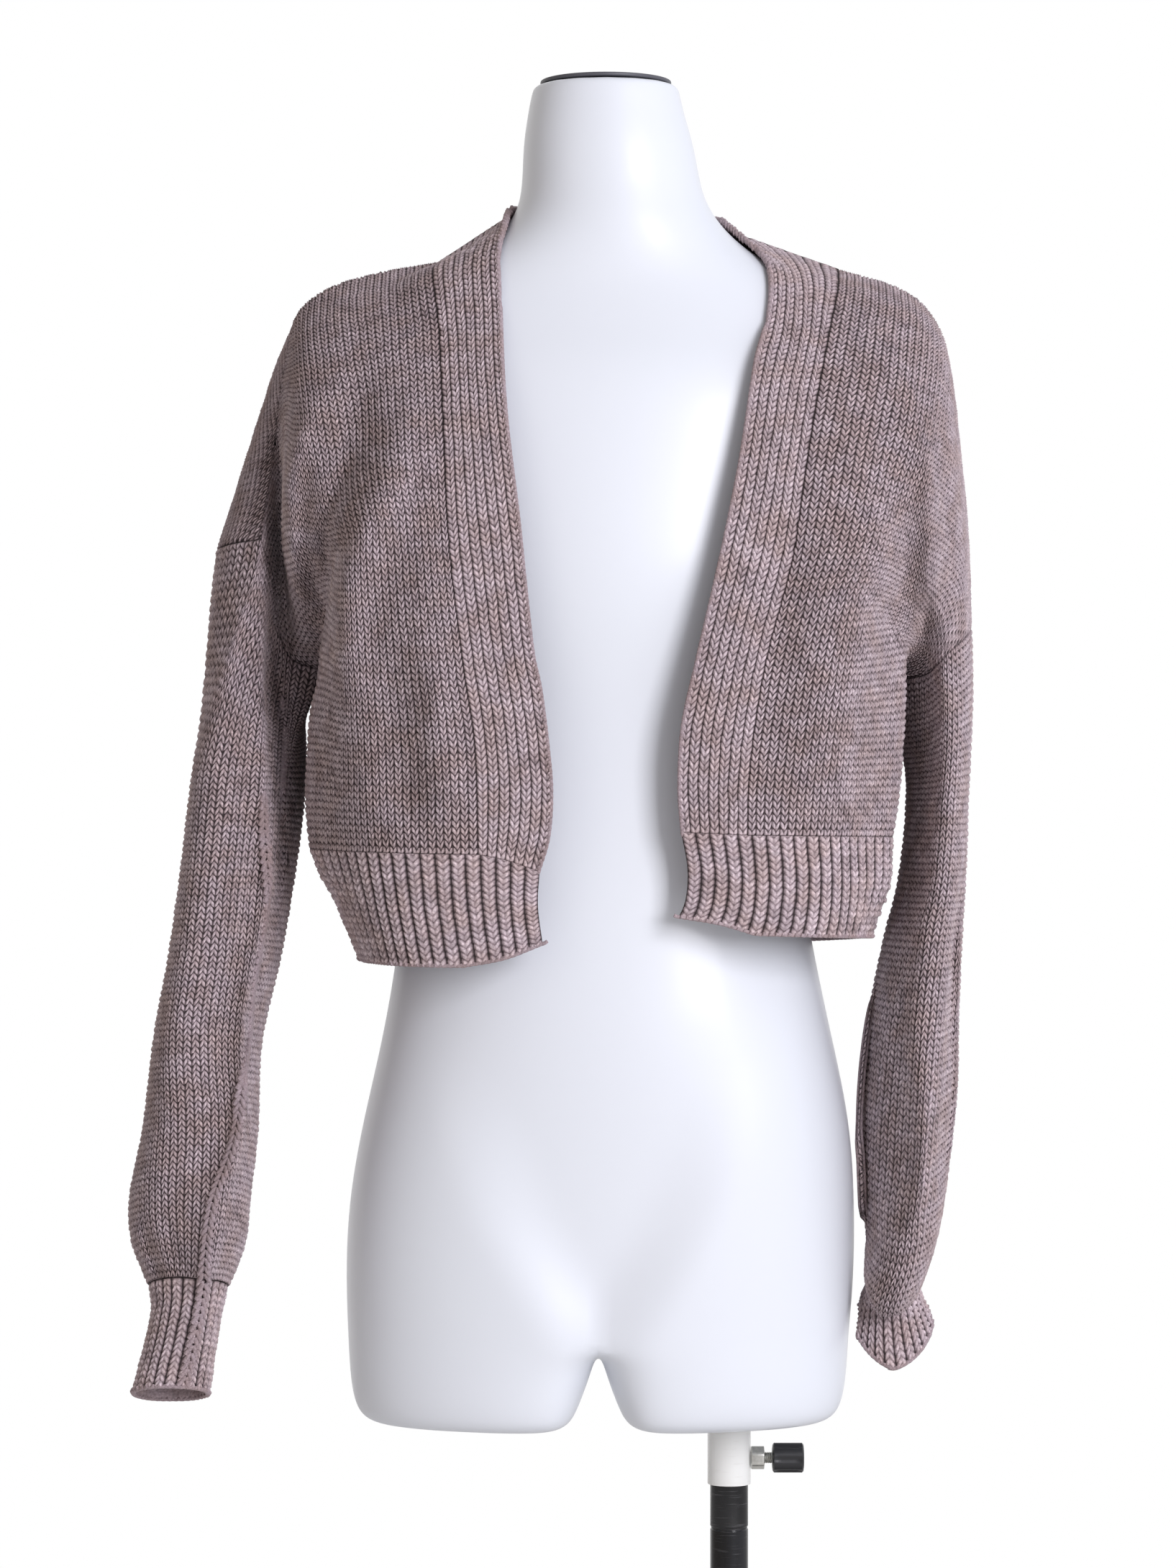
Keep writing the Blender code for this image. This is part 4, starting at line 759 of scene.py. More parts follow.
# How far from an edge it shows, how much darker a seam's groove is painted as shade, how
# far a free edge turns in
seam = {"settled": 0.006, "reach": 0.0017, "grooveShade": 0.5, "joinedReach": 0.0010,
        "joinedDepth": 0.4, "markReach": 0.0016, "markShade": 0.75, "markFrom": 0.3,
        "turnReach": 0.0016, "turnedIn": 0.0011, "turnFlat": 0.6}

# How evenly the stitches are knitted: the spread of their heights and of their places
hand = {"even": 1.7, "height": 0.10, "highest": 1.15, "lengthwise": 0.7}


def stitchShape(settings, f, beat):
    # a place's share from the wale's middle, and its height from 0 to 1 at each beat
    d = np.abs(f - 0.5) * 2
    profile = settings["profile"]
    x = np.minimum(d / profile["leg"], 1.0)
    rise = np.interp(d, profile["at"], profile["rise"])
    swing = np.interp(d, profile["at"], profile["swing"])
    return x, rise[None, :] * (1 - swing[None, :] * (1 - beat[:, None]))


def knitShell(name, knit, settings, material):
    # a closed wall whose outer face has every stitch's own relief; the mesh's rows run
    # along the slant of the stitches, so each leg keeps its shape with few faces
    surface = knit.surface
    perWale, perCourse, slant = (settings[k] for k in ("perWale", "perCourse", "slant"))
    first, final = math.floor(knit.low + 1e-6), math.ceil(knit.high - 1e-6)
    if settings["wales"]:
        first, final = 0, settings["wales"]
    u = first + np.arange((final - first) * perWale + 1) / perWale
    most = knit.coursesAt(surface.t).max()
    phase = np.arange(int(math.ceil((most + slant) * perCourse)) + 1) / perCourse
    beats = {2: (0.0, 1.0), 3: (0.0, 0.9, 1.0), 4: (0.0, 0.8, 1.0, 0.75)}[perCourse]
    beat = np.array(beats)[np.arange(len(phase)) % perCourse]
    x, height = stitchShape(settings, u % 1.0, beat)
    straight = np.repeat(phase[:, None], len(u), axis=1)
    v = straight + slant * (x[None, :] - 0.5) * np.minimum(phase, 1.0)[:, None]
    wide = np.repeat(u[None, :], len(phase), axis=0)
    s, t = knit.place(wide, v, straight)
    points, out = knit.read(s, t)

    # unevenness of hand: each stitch stands a little off its place
    rng = np.random.default_rng(settings["seed"])
    table = rng.normal(0.0, 1.0, (3, len(phase) // perCourse + 2, final - first + 2))
    table = (table + np.roll(table, 1, axis=1) + np.roll(table, 1, axis=2)) / hand["even"]
    if surface.around:
        table[..., final - first] = table[..., 0]
    course = (np.arange(len(phase)) // perCourse)[:, None]
    wale = (np.floor(u + 1e-6) - first).astype(int)[None, :]
    jitter = table[:, course, wale]
    height = np.clip(height * (1 + hand["height"] * jitter[0]), 0.0, hand["highest"])
    across = unit(np.gradient(points, axis=1) + 1e-12)
    along = unit(np.gradient(points, axis=0) + 1e-12)
    span = np.interp(t, surface.t, knit.long)
    breadth = np.interp(s, surface.s, knit.wide)
    away = {"low": s * span, "high": (1 - s) * span}  # how far each stitch is from an edge
    if not surface.around:
        away.update(near=t * breadth, far=(1 - t) * breadth)
    inside = np.minimum.reduce(list(away.values()))
    free = np.clip(inside / seam["settled"], 0, 1)[..., None]
    points = points + across * (jitter[1] * settings["wobble"])[..., None] * free
    lengthwise = jitter[2] * settings["wobble"] * hand["lengthwise"]
    points = points + along * lengthwise[..., None] * free

    sunk = settings["depth"] * (1 - height)
    # painted shade: the colour darkens as a stitch's height falls, so the valleys between
    # the legs are painted darker
    paintedShade = height.copy()
    for edge, distance in away.items():
        way = settings["edges"][edge]
        if way == "seam":
            groove = np.exp(-((distance / seam["reach"]) ** 2))
            sunk = sunk + groove * settings["groove"]
            # painted shade: the seam's groove is painted darker
            paintedShade = paintedShade * (1 - seam["grooveShade"] * groove)
        elif way == "joined":  # one fabric runs on into the next, with an even height
            meet = np.exp(-((distance / seam["joinedReach"]) ** 2))
            sunk = sunk * (1 - meet) + settings["depth"] * seam["joinedDepth"] * meet
        elif way == "fashioned":  # a mark every fourth course, fainter downwards
            mark = 0.2 + 0.8 * (0.5 + 0.5 * np.cos(v * math.tau / 4))
            mark = mark * np.clip((s - seam["markFrom"]) * 3, 0.1, 1)
            mark = mark * np.exp(-((distance / seam["markReach"]) ** 2))
            sunk = sunk + mark * settings["groove"]
            # painted shade: each fashioning mark's groove is painted darker
            paintedShade = paintedShade * (1 - seam["markShade"] * mark)
        else:
            turn = np.clip(1 - distance / seam["turnReach"], 0, 1)
            sunk = sunk * (1 - seam["turnFlat"] * turn) + seam["turnedIn"] * turn**2
    points = points - out * sunk[..., None]

    # the plain inner face, some stitches to each of its squares
    rowsIn, colsIn = settings["inner"]
    shareS = np.repeat(np.linspace(0, 1, rowsIn + 1)[:, None], colsIn + 1, axis=1)
    shareT = np.repeat(np.linspace(0, 1, colsIn + 1)[None, :], rowsIn + 1, axis=0)
    inner, innerOut = knit.read(shareS, shareT)
    inner = inner - innerOut * wall
    innerU = (shareT - knit.start) * knit.walesAt(shareS)
    innerV = shareS * knit.coursesAt(shareT)

    # stitches that fall on one spot of an edge become one point
    ringT = np.where(t > 1 - 1e-7, 0.0, t) if surface.around else t
    keys = np.round(np.stack([s, ringT], axis=-1).reshape(-1, 2) * 1e6).astype(np.int64)
    _, firstSeen, slot = np.unique(keys[:, 0] * 10_000_000 + keys[:, 1], return_index=True,
                                   return_inverse=True)
    slot = slot.reshape(s.shape)
    innerSlot = len(firstSeen) + np.arange(inner.size // 3).reshape(rowsIn + 1, colsIn + 1)
    if surface.around:
        innerSlot[:, -1] = innerSlot[:, 0]
    flip = surface.outward < 0
    loops, counts, uvs = [], [], []

    def addGrid(grid, us, vs, turnOver):
        def corners(a):
            four = np.stack([a[:-1, :-1], a[:-1, 1:], a[1:, 1:], a[1:, :-1]], axis=-1)
            return four.reshape(-1, 4)

        ids, us, vs = corners(grid), corners(us), corners(vs)
        if turnOver:
            ids, us, vs = ids[:, ::-1], us[:, ::-1], vs[:, ::-1]
        own = ids != np.roll(ids, 1, axis=1)
        size = own.sum(axis=1)
        crossed = (ids[:, 0] == ids[:, 2]) | (ids[:, 1] == ids[:, 3])
        good = (size >= 3) & ~crossed
        loops.append(ids[good][own[good]])
        uvs.append(np.stack([us[good][own[good]], vs[good][own[good]]], axis=-1))
        counts.append(size[good])

    addGrid(slot, wide, v, flip)
    addGrid(innerSlot, innerU, innerV, not flip)

    # rims: the outer face's edge points between two points of the inner face's edge
    flatS, flatT, flatU, flatV = (a.ravel()[firstSeen] for a in (s, t, wide, v))
    sides = [(flatS == 0, flatT, innerSlot[0], shareT[0], True),
             (flatS == 1, flatT, innerSlot[-1], shareT[0], False)]
    if not surface.around:
        sides += [(flatT == 0, flatS, innerSlot[:, 0], shareS[:, 0], False),
                  (flatT == 1, flatS, innerSlot[:, -1], shareS[:, 0], True)]
    for chosen, share, innerRun, innerShare, forward in sides:
        order = np.flatnonzero(chosen)
        order = order[np.argsort(share[order], kind="stable")]
        shares = share[order]
        if surface.around:
            order, shares = np.append(order, order[0]), np.append(shares, 1.0)
        cuts = np.abs(shares[:, None] - innerShare[None, :]).argmin(axis=0)
        for k in range(len(innerShare) - 1):
            run = order[cuts[k]:cuts[k + 1] + 1]
            back = np.array([innerRun[k + 1], innerRun[k]])
            ring = np.concatenate([run, back])
            ringUv = np.stack([flatU[run], flatV[run]], axis=-1)
            ringUv = np.vstack([ringUv, ringUv[-1:], ringUv[:1]])
            if forward != flip:
                ring, ringUv = ring[::-1], ringUv[::-1]
            loops.append(ring)
            uvs.append(ringUv)
            counts.append(np.array([len(ring)]))
    allPoints = np.vstack([points.reshape(-1, 3)[firstSeen], inner.reshape(-1, 3)])
    # the inner face takes an even middle level of painted shade
    reliefShade = np.concatenate([paintedShade.ravel()[firstSeen], np.full(inner.size // 3, 0.5)])
    mesh = meshFrom("knitted_" + name, allPoints + (formX, 0.0, 0.0), np.concatenate(loops),
                    np.concatenate(counts))
    layer = mesh.uv_layers.new(name="stitch")
    layer.data.foreach_set("uv", np.concatenate(uvs).astype(np.float32).ravel())
    setReliefShade(mesh, reliefShade)
    mesh.materials.append(material)
    piece = addObject("knitted_" + name, mesh)
    print(f"{name}: {final - first} wales, {most:.0f} courses, {len(mesh.polygons)} faces")
    return piece


def seams(low, high, near="free", far="free"):
    return {"low": low, "high": high, "near": near, "far": far}


# one entry a piece: its stitches, how deep they are and which of its edges are sewn
plainStitch = {"leg": 1.0, "at": (0.0, 0.5, 1.0), "rise": (0.40, 1.0, 0.12),
               "swing": (0.8, 0.9, 0.5)}
broadStitch = {"leg": 1.0, "at": (0.0, 0.25, 0.5, 0.75, 1.0),
               "rise": (0.45, 0.92, 1.0, 0.74, 0.05), "swing": (0.7, 0.75, 0.8, 0.7, 0.4)}
ribStitch = {"leg": 0.75, "at": (0.0, 0.25, 0.5, 0.75, 1.0),
             "rise": (0.62, 0.96, 1.0, 0.5, 0.04), "swing": (0.55, 0.65, 0.7, 0.6, 0.6)}
body = {"profile": plainStitch, "slant": 0.95, "depth": 0.0017, "groove": 0.0006,
        "wobble": 0.00022, "wale": 0.0053, "course": 0.0043, "wales": 0, "middle": False,
        "perWale": 4, "perCourse": 3, "inner": (72, 48)}
ribbed = {**body, "profile": ribStitch, "slant": 0.7, "depth": 0.0019, "perWale": 8,
          "inner": (10, 48), "groove": 0.0005, "wobble": 0.00012}
banded = {**body, "profile": broadStitch, "slant": 0.95, "depth": 0.0018, "perWale": 8,
          "inner": (72, 10), "course": 0.0044, "wales": 7,
          "edges": seams("joined", "joined", "free", "fashioned")}
sleeved = {**body, "wales": 56, "edges": seams("seam", "joined")}
cuffed = {**ribbed, "wales": 23, "inner": (14, 46), "edges": seams("joined", "free")}
frontHem = {**ribbed, "wales": 24, "edges": seams("free", "joined", "free", "seam")}
pieces = {
    **dict.fromkeys(("front_left", "front_right"),
                    {**body, "edges": seams("joined", "seam", "fashioned", "seam")}),
    "back": {**body, "middle": True, "perCourse": 2, "course": 0.0045, "inner": (60, 90),
             "edges": seams("joined", "seam", "seam", "seam")},
    **dict.fromkeys(("sleeve_left", "sleeve_right"), sleeved),
    **dict.fromkeys(("front_band_left", "front_band_right"), banded),
    "back_neck_band": {**body, "wales": 66, "inner": (8, 48), "depth": 0.0014,
                       "edges": seams("free", "seam", "joined", "joined")},
    **dict.fromkeys(("hem_rib_front_left", "hem_rib_front_right"), frontHem),
    "hem_rib_back": {**ribbed, "wales": 48, "inner": (10, 72),
                     "edges": seams("free", "joined", "seam", "seam")},
    "cuff_left": cuffed,
    "cuff_right": {**cuffed, "inner": (10, 46), "course": 0.0036},
}


def settle(piece, body, slotName, *nodes):
    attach(piece, body)
    if nodes:
        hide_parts(*nodes)
    return piece


knits = {}
yarnMaterial = knittedYarn("spunKnittingYarn")
for number, (name, settings) in enumerate(pieces.items()):
    knits[name] = Knit(surfaces[name], settings)
    settle(knitShell(name, knits[name], {**settings, "seed": 11 + number},
                                     yarnMaterial), "form", "knit", name)


# Geometry Nodes: loops of yarn that follow an edge or a ridge
def loopTree(name, material):
    tree = bpy.data.node_groups.new(name, "GeometryNodeTree")
    face = tree.interface
    face.new_socket("Geometry", in_out="INPUT", socket_type="NodeSocketGeometry")
    for label in ("Spacing", "Loop length", "Yarn radius", "Rise", "Lean", "Jitter"):
        face.new_socket(label, in_out="INPUT", socket_type="NodeSocketFloat")
    face.new_socket("Seed", in_out="INPUT", socket_type="NodeSocketInt")
    face.new_socket("Geometry", in_out="OUTPUT", socket_type="NodeSocketGeometry")
    given = addNode(tree, "NodeGroupInput").outputs
    path = addNode(tree, "GeometryNodeMeshToCurve", {"Mesh": given["Geometry"]})
    even = addNode(tree, "GeometryNodeResampleCurve",
                   {"Curve": path, "Length": given["Spacing"]}, mode="LENGTH")
    half = addNode(tree, "ShaderNodeMath", [given["Loop length"], 0.5],
                   operation="MULTIPLY")
    before = addNode(tree, "ShaderNodeMath", [half, -1.0], operation="MULTIPLY")
    start, middle, end = (addNode(tree, "ShaderNodeCombineXYZ", place) for place in (
        {"X": before}, {"Z": given["Rise"]}, {"X": half}))
    bow = addNode(tree, "GeometryNodeCurveQuadraticBezier", {
        "Resolution": 4, "Start": start, "Middle": middle, "End": end})
    ring = addNode(tree, "GeometryNodeCurvePrimitiveCircle",
                   {"Resolution": 6, "Radius": given["Yarn radius"]})
    share = addNode(tree, "GeometryNodeSplineParameter").outputs["Factor"]
    belly = addNode(tree, "ShaderNodeFloatCurve", {"Value": share})
    points = belly.mapping.curves[0].points
    points[0].location, points[1].location = (0.0, 0.45), (1.0, 0.45)
    points.new(0.5, 1.0)
    thick = addNode(tree, "GeometryNodeSetCurveRadius", {"Curve": bow, "Radius": belly})
    loop = addNode(tree, "GeometryNodeCurveToMesh", {
        "Curve": thick, "Profile Curve": ring, "Fill Caps": True})
    way = addNode(tree, "GeometryNodeInputTangent")
    out = addNode(tree, "GeometryNodeInputNamedAttribute", {"Name": "out"},
                  data_type="FLOAT_VECTOR")
    along = addNode(tree, "FunctionNodeAlignRotationToVector", {"Vector": way}, axis="X")
    upright = addNode(tree, "FunctionNodeAlignRotationToVector",
                      {"Rotation": along, "Vector": out}, axis="Z", pivot_axis="X")
    loose = addNode(tree, "FunctionNodeRandomValue",
                    {2: -1.0, 3: 1.0, "Seed": given["Seed"]}, data_type="FLOAT").outputs[1]
    swing = addNode(tree, "ShaderNodeMath", [loose, given["Jitter"], given["Lean"]],
                    operation="MULTIPLY_ADD")
    turn = addNode(tree, "ShaderNodeCombineXYZ", {"Z": swing})
    leaning = addNode(tree, "FunctionNodeEulerToRotation", {"Euler": turn})
    leant = addNode(tree, "FunctionNodeRotateRotation",
                    {"Rotation": upright, "Rotate By": leaning}, rotation_space="LOCAL")
    placed = addNode(tree, "GeometryNodeInstanceOnPoints", {
        "Points": even, "Instance": loop, "Rotation": leant})
    real = addNode(tree, "GeometryNodeRealizeInstances", {"Geometry": placed})
    finish = addNode(tree, "GeometryNodeSetMaterial",
                     {"Geometry": real, "Material": material})
    addNode(tree, "NodeGroupOutput", {"Geometry": finish})
    return tree


def applied(draft, name):  # the draft's mesh with its modifiers' result, and no modifiers
    ready = draft.evaluated_get(bpy.context.evaluated_depsgraph_get())
    mesh = bpy.data.meshes.new_from_object(ready)
    mesh.name = name
    bpy.data.objects.remove(draft, do_unlink=True)
    return mesh


def loopsAlong(name, points, outs, tree, reliefShade, values):
    mesh = bpy.data.meshes.new(name + "Path")
    links = [(i, i + 1) for i in range(len(points) - 1)]
    mesh.from_pydata([tuple(p) for p in points], links, [])
    mark = mesh.attributes.new("out", "FLOAT_VECTOR", "POINT")
    mark.data.foreach_set("vector", np.asarray(outs, np.float32).ravel())
    draft = addObject(name + "Draft", mesh)
    nodesModifier = draft.modifiers.new("loops", "NODES")
    nodesModifier.node_group = tree
    for item in tree.interface.items_tree:
        if item.in_out == "INPUT" and item.name in values:
            nodesModifier[item.identifier] = values[item.name]
    plain = applied(draft, name)
    plain.shade_smooth()
    setReliefShade(plain, np.full(len(plain.vertices), reliefShade))
    return settle(addObject(name, plain), "form", "knit")


path = {"steps": 240, "nextColumn": 0.04, "nextRow": 0.02, "sunk": 0.0016, "inset": 0.0012}


def edgePath(knit, edge):
    # points on a piece's edge, set half a yarn into the wall, and the way away from it
    share = np.linspace(0.0, 1.0, path["steps"])
    if edge == "near":
        line, out = knit.read(share, 0 * share)
        beside, _ = knit.read(share, 0 * share + path["nextColumn"])
    else:
        row = 0 * share + (0.0 if edge == "low" else 1.0)
        line, out = knit.read(row, share)
        beside, _ = knit.read(row * (1 - 2 * path["nextRow"]) + path["nextRow"], share)
    side = unit(line - beside)
    return line - out * path["sunk"] - side * path["inset"] + (formX, 0.0, 0.0), side


# Turned pieces of the stand
def turnedPiece(name, profile, sides, material, centre=(0.0, 0.0, 0.0), axis="Z",
                shape=None):
    # a profile of radius and height, swept round; shape(radius, height, angle) may cut it
    angle = np.arange(sides) * 2 * math.pi / sides
    rings, points = [], []
    for radius, height in profile:
        if radius < 1e-7:
            rings.append([len(points)] * sides)
            points.append((0.0, 0.0, height))
            continue
        rings.append(list(range(len(points), len(points) + sides)))
        own = np.full(sides, radius) if shape is None else shape(radius, height, angle)
        around = own * np.cos(angle), own * np.sin(angle), np.full(sides, height)
        points += list(zip(*around))
    faces = []
    for low, high in zip(rings, rings[1:]):
        for k in range(sides):
            quad = [low[k], low[(k + 1) % sides], high[(k + 1) % sides], high[k]]
            corners = list(dict.fromkeys(quad))
            if len(corners) >= 3:
                faces.append(corners)
    points = np.array(points)
    if axis == "X":
        points = points[:, [2, 0, 1]]
    mesh = bpy.data.meshes.new(name)
    mesh.from_pydata([tuple(p) for p in points + centre], [], faces)
    bm = bmesh.new()
    bm.from_mesh(mesh)
    bmesh.ops.recalc_face_normals(bm, faces=bm.faces)
    bm.to_mesh(mesh)
    bm.free()
    mesh.shade_smooth()
    mesh.set_sharp_from_angle(angle=math.radians(38))
    mesh.materials.append(material)
    return addObject(name, mesh)


def rounded(profile, radius, steps=4):
    # the profile with its corners rounded
    rows = [np.array(p, float) for p in profile]
    result = [rows[0]]
    for before, corner, after in zip(rows, rows[1:], rows[2:]):
        toBefore, toAfter = before - corner, after - corner
        sizes = np.linalg.norm(toBefore), np.linalg.norm(toAfter)
        reach = min(radius, sizes[0] / 2.1, sizes[1] / 2.1)
        a, b = (corner + way / max(size, 1e-9) * reach
                for way, size in zip((toBefore, toAfter), sizes))
        for k in range(steps + 1):
            w = k / steps
            result.append(a * (1 - w)**2 + corner * 2 * w * (1 - w) + b * w**2)
    return [tuple(p) for p in result + [rows[-1]]]


def glossyShell(name):
    # Fibreglass shell in sprayed white gelcoat: a clear, wet gloss with soft long
    # highlights, a trace of lavender in the white and duller where it is handled
    material, tree, shader, place = newMaterial(name)
    cloud = addNode(tree, "ShaderNodeTexNoise", {
        "Vector": place, "Scale": 6.0, "Detail": 1.0})
    colour = addNode(tree, "ShaderNodeMix", {
        0: cloud, 6: linear("#DFE3E9"), 7: linear("#DBDEE5")}, data_type="RGBA").outputs[2]
    handled = addNode(tree, "ShaderNodeMapRange", [cloud, 0.3, 0.7, 0.36, 0.46])
    setInputs(tree, shader, {
        "Base Color": colour, "Roughness": handled, "IOR": 1.5, "Coat Weight": 0.2,
        "Coat Roughness": 0.18})
    return material


def enamel(name, colour, worn, roughness, scratchMm, amount):
    # Enamel sprayed on steel tube: smooth and hard, rubbed by the sliding collar into
    # fine rings and short scrapes that are duller than the paint
    material, tree, shader, place = newMaterial(name)
    rings = addNode(tree, "ShaderNodeMapping", {
        "Vector": place, "Scale": (60.0, 60.0, 1000.0 / scratchMm)})
    scrape = addNode(tree, "ShaderNodeTexNoise", {
        "Vector": rings, "Scale": 1.0, "Detail": 3.0})
    mask = addNode(tree, "ShaderNodeMapRange", [scrape, 0.58, 0.72, 0.0, amount])
    paint = addNode(tree, "ShaderNodeMix", {
        0: mask, 6: linear(colour), 7: linear(worn)}, data_type="RGBA").outputs[2]
    duller = addNode(tree, "ShaderNodeMapRange",
                     [mask, 0.0, 1.0, roughness, roughness + 0.3])
    setInputs(tree, shader, {"Base Color": paint, "Roughness": duller, "IOR": 1.52})
    return material


def zincPlate(name):
    # Zinc-plated steel, tumbled bright: pale grey metal with a faint cloudy passivation
    material, tree, shader, place = newMaterial(name)
    cloud = addNode(tree, "ShaderNodeTexNoise", {
        "Vector": place, "Scale": 700.0, "Detail": 2.0})
    colour = addNode(tree, "ShaderNodeMix", {
        0: cloud, 6: linear("#B9B9B4"), 7: linear("#D6D5CE")}, data_type="RGBA").outputs[2]
    duller = addNode(tree, "ShaderNodeMapRange", [cloud, 0.0, 1.0, 0.22, 0.42])
    setInputs(tree, shader, {"Base Color": colour, "Roughness": duller, "Metallic": 1.0})
    return material


def mouldedPlastic(name, colour, roughness, grainMm):
    # Moulded ABS: low gloss from a fine spark-eroded grain in the mould
    material, tree, shader, place = newMaterial(name)
    grain = addNode(tree, "ShaderNodeTexNoise", {
        "Vector": place, "Scale": 1000.0 / grainMm, "Detail": 2.0})
    dark = linear(colour)
    light = (*[v * 1.5 for v in dark[:3]], 1.0)
    speckled = addNode(tree, "ShaderNodeMix", {0: grain, 6: dark, 7: light},
                       data_type="RGBA").outputs[2]
    bump = addNode(tree, "ShaderNodeBump", {
        "Height": grain, "Strength": 0.25, "Distance": 0.0002})
    setInputs(tree, shader, {
        "Base Color": speckled, "Normal": bump, "Roughness": roughness, "IOR": 1.53})
    return material


# The groin's line is heights and half widths. Each pair says where a change starts and how
# far it takes to grow: the neck's widening, and the belly's sinking in three directions.
form = {"swell": 1.0235, "levels": 3, "neckWider": 0.0036, "neckFrom": (1.515, 0.02),
        "groin": ((0.765, 0.780, 0.850, 0.930, 1.000), (0.004, 0.014, 0.056, 0.086, 0.120)),
        "belly": 0.013, "beside": (0.030, 0.065), "below": (0.99, 0.20),
        "ahead": (0.02, 0.05)}


def formRing(z, middle, half, front, back, inset=0.0):
    ring = []
    power = 2.0 / formRoundness
    for k in range(formRingPoints):
        angle = -math.pi / 2 + k * 2 * math.pi / formRingPoints
        c, s = math.cos(angle), math.sin(angle)
        depth = (front if s < 0 else back) - inset
        across = math.copysign(abs(c) ** power, c) * (half - inset) * form["swell"]
        ring.append((middle + across,
                     math.copysign(abs(s) ** power, s) * depth * form["swell"], z))
    return ring


def sinkBelly(mesh):  # the lower belly slopes in between the thighs, below soft groins
    at = np.zeros(len(mesh.vertices) * 3)
    mesh.vertices.foreach_get("co", at)
    at = at.reshape(-1, 3)
    x, y, z = at[:, 0] - formX, at[:, 1], at[:, 2]
    past = (np.interp(z, *form["groin"]) + form["beside"][0] - np.abs(x),
            form["below"][0] - z, -y - form["ahead"][0])
    sink = 1.0
    for distance, key in zip(past, ("beside", "below", "ahead")):
        sink = sink * eased(np.clip(distance / form[key][1], 0, 1))
    at[:, 1] += form["belly"] * sink
    mesh.vertices.foreach_set("co", at.ravel())
    mesh.update()


def buildForm(material):
    # one smooth shell from a coarse cage, with a neck and two thigh stubs
    count = formRingPoints
    points, faces = [], []
    for row in formSections:
        start, over = form["neckFrom"]
        wider = form["neckWider"] * np.clip((row[0] - start) / over, 0.0, 1.0)
        points += formRing(row[0], row[1], *(size + wider for size in row[2:]))
    for r in range(len(formSections) - 1):
        for k in range(count):
            a, b = r * count + k, r * count + (k + 1) % count
            faces.append([a, a + count, b + count, b])
    faces.append(list(range(count)))
    last, half = (len(formSections) - 1) * count, count // 2
    z, middle, hips, front, back = formSections[-1]
    inner = [-front + (front + back) * share for share in (0.75, 0.5, 0.25)]
    strip = [len(points) + k for k in range(3)]
    points += [(middle, y, crotchHeight) for y in inner]
    for sign in (1, -1):
        order = range(half + 1) if sign > 0 else [0] + list(range(count - 1, half - 1, -1))
        ringSlots = [last + k for k in order] + strip
        for height, inset, gap in thighSections:
            ring = formRing(height, middle, hips, front, back, inset)
            outline = [ring[k] for k in order]
            for n in (0, half):
                outline[n] = (middle + sign * (gap + stub["innerEdge"]),
                              outline[n][1] * stub["innerDepth"], height)
            outline += [(middle + sign * gap, y, height) for y in inner]
            total = len(outline)
            slots = [len(points) + k for k in range(total)]
            points += outline
            for k in range(total):
                quad = [ringSlots[k], slots[k], slots[(k + 1) % total],
                        ringSlots[(k + 1) % total]]
                faces.append(quad if sign > 0 else quad[::-1])
            ringSlots = slots
        cap = ringSlots[::-1]
        faces.append(cap if sign > 0 else cap[::-1])
    mesh = bpy.data.meshes.new("formCage")
    mesh.from_pydata([(x + formX, y, z) for x, y, z in points], [], faces)
    mesh.shade_smooth()
    mesh.materials.append(material)
    draft = addObject("formDraft", mesh)
    rounding = draft.modifiers.new("rounding", "SUBSURF")
    rounding.levels = rounding.render_levels = form["levels"]
    smooth = applied(draft, "dressForm")
    sinkBelly(smooth)
    return addObject("dressForm", smooth)


white = glossyShell("gelcoatWhite")
settle(buildForm(white), "form", "form_gloss", "dress_form")

joint = 0.0003  # the hair's breadth between fitted parts
capRow = formSections[0]
neckCap = {"radius": capRow[2] + 0.001, "thickness": 0.0025}
capPlate = mouldedPlastic("mouldedGreyPlate", "#4A4A50", 0.5, 0.6)
settle(turnedPiece("neckPlate", rounded((
    (0.0, 0.0), (neckCap["radius"], 0.0), (neckCap["radius"], neckCap["thickness"]),
    (0.0, neckCap["thickness"])), 0.0009), 64, capPlate,
    (formX + capRow[1], 0.0, neckTop + joint)), "form", "neck_cap_grey", "neck_cap")

blackEnamel = enamel("scrapedBlackEnamel", "#121214", "#4B4A4C", 0.16, 0.9, 0.55)
whiteEnamel = enamel("whiteEnamel", "#E4E4E1", "#BDBAB4", 0.22, 2.5, 0.25)
base = {"radius": 0.200, "thickness": 0.010, "boss": 0.030, "bossHeight": 0.028}
settle(turnedPiece("standBase", rounded((
    (0.0, 0.0), (base["radius"] - 0.001, 0.0), (base["radius"], base["thickness"] * 0.6),
    (base["radius"] - 0.006, base["thickness"]), (base["boss"] + 0.010, base["thickness"]),
    (base["boss"], base["thickness"] + 0.004), (base["boss"] - 0.004, base["bossHeight"]),
    (0.0, base["bossHeight"])), 0.003), 96, blackEnamel), "stand", "stand_black",
    "stand_base")

pole = {"ring": 0.6405, "ringRadius": poleRadius - 0.0005,
        "foot": base["bossHeight"] + joint}
settle(turnedPiece("standPole", rounded((
    (0.0, pole["foot"]), (poleRadius, pole["foot"]), (poleRadius, pole["ring"] - 0.0012),
    (pole["ringRadius"], pole["ring"] - 0.0008),
    (pole["ringRadius"], pole["ring"] + 0.0008),
    (poleRadius, pole["ring"] + 0.0012), (poleRadius, poleTop), (0.0, poleTop)), 0.0007),
    48, blackEnamel), "stand", "stand_black", "stand_pole")

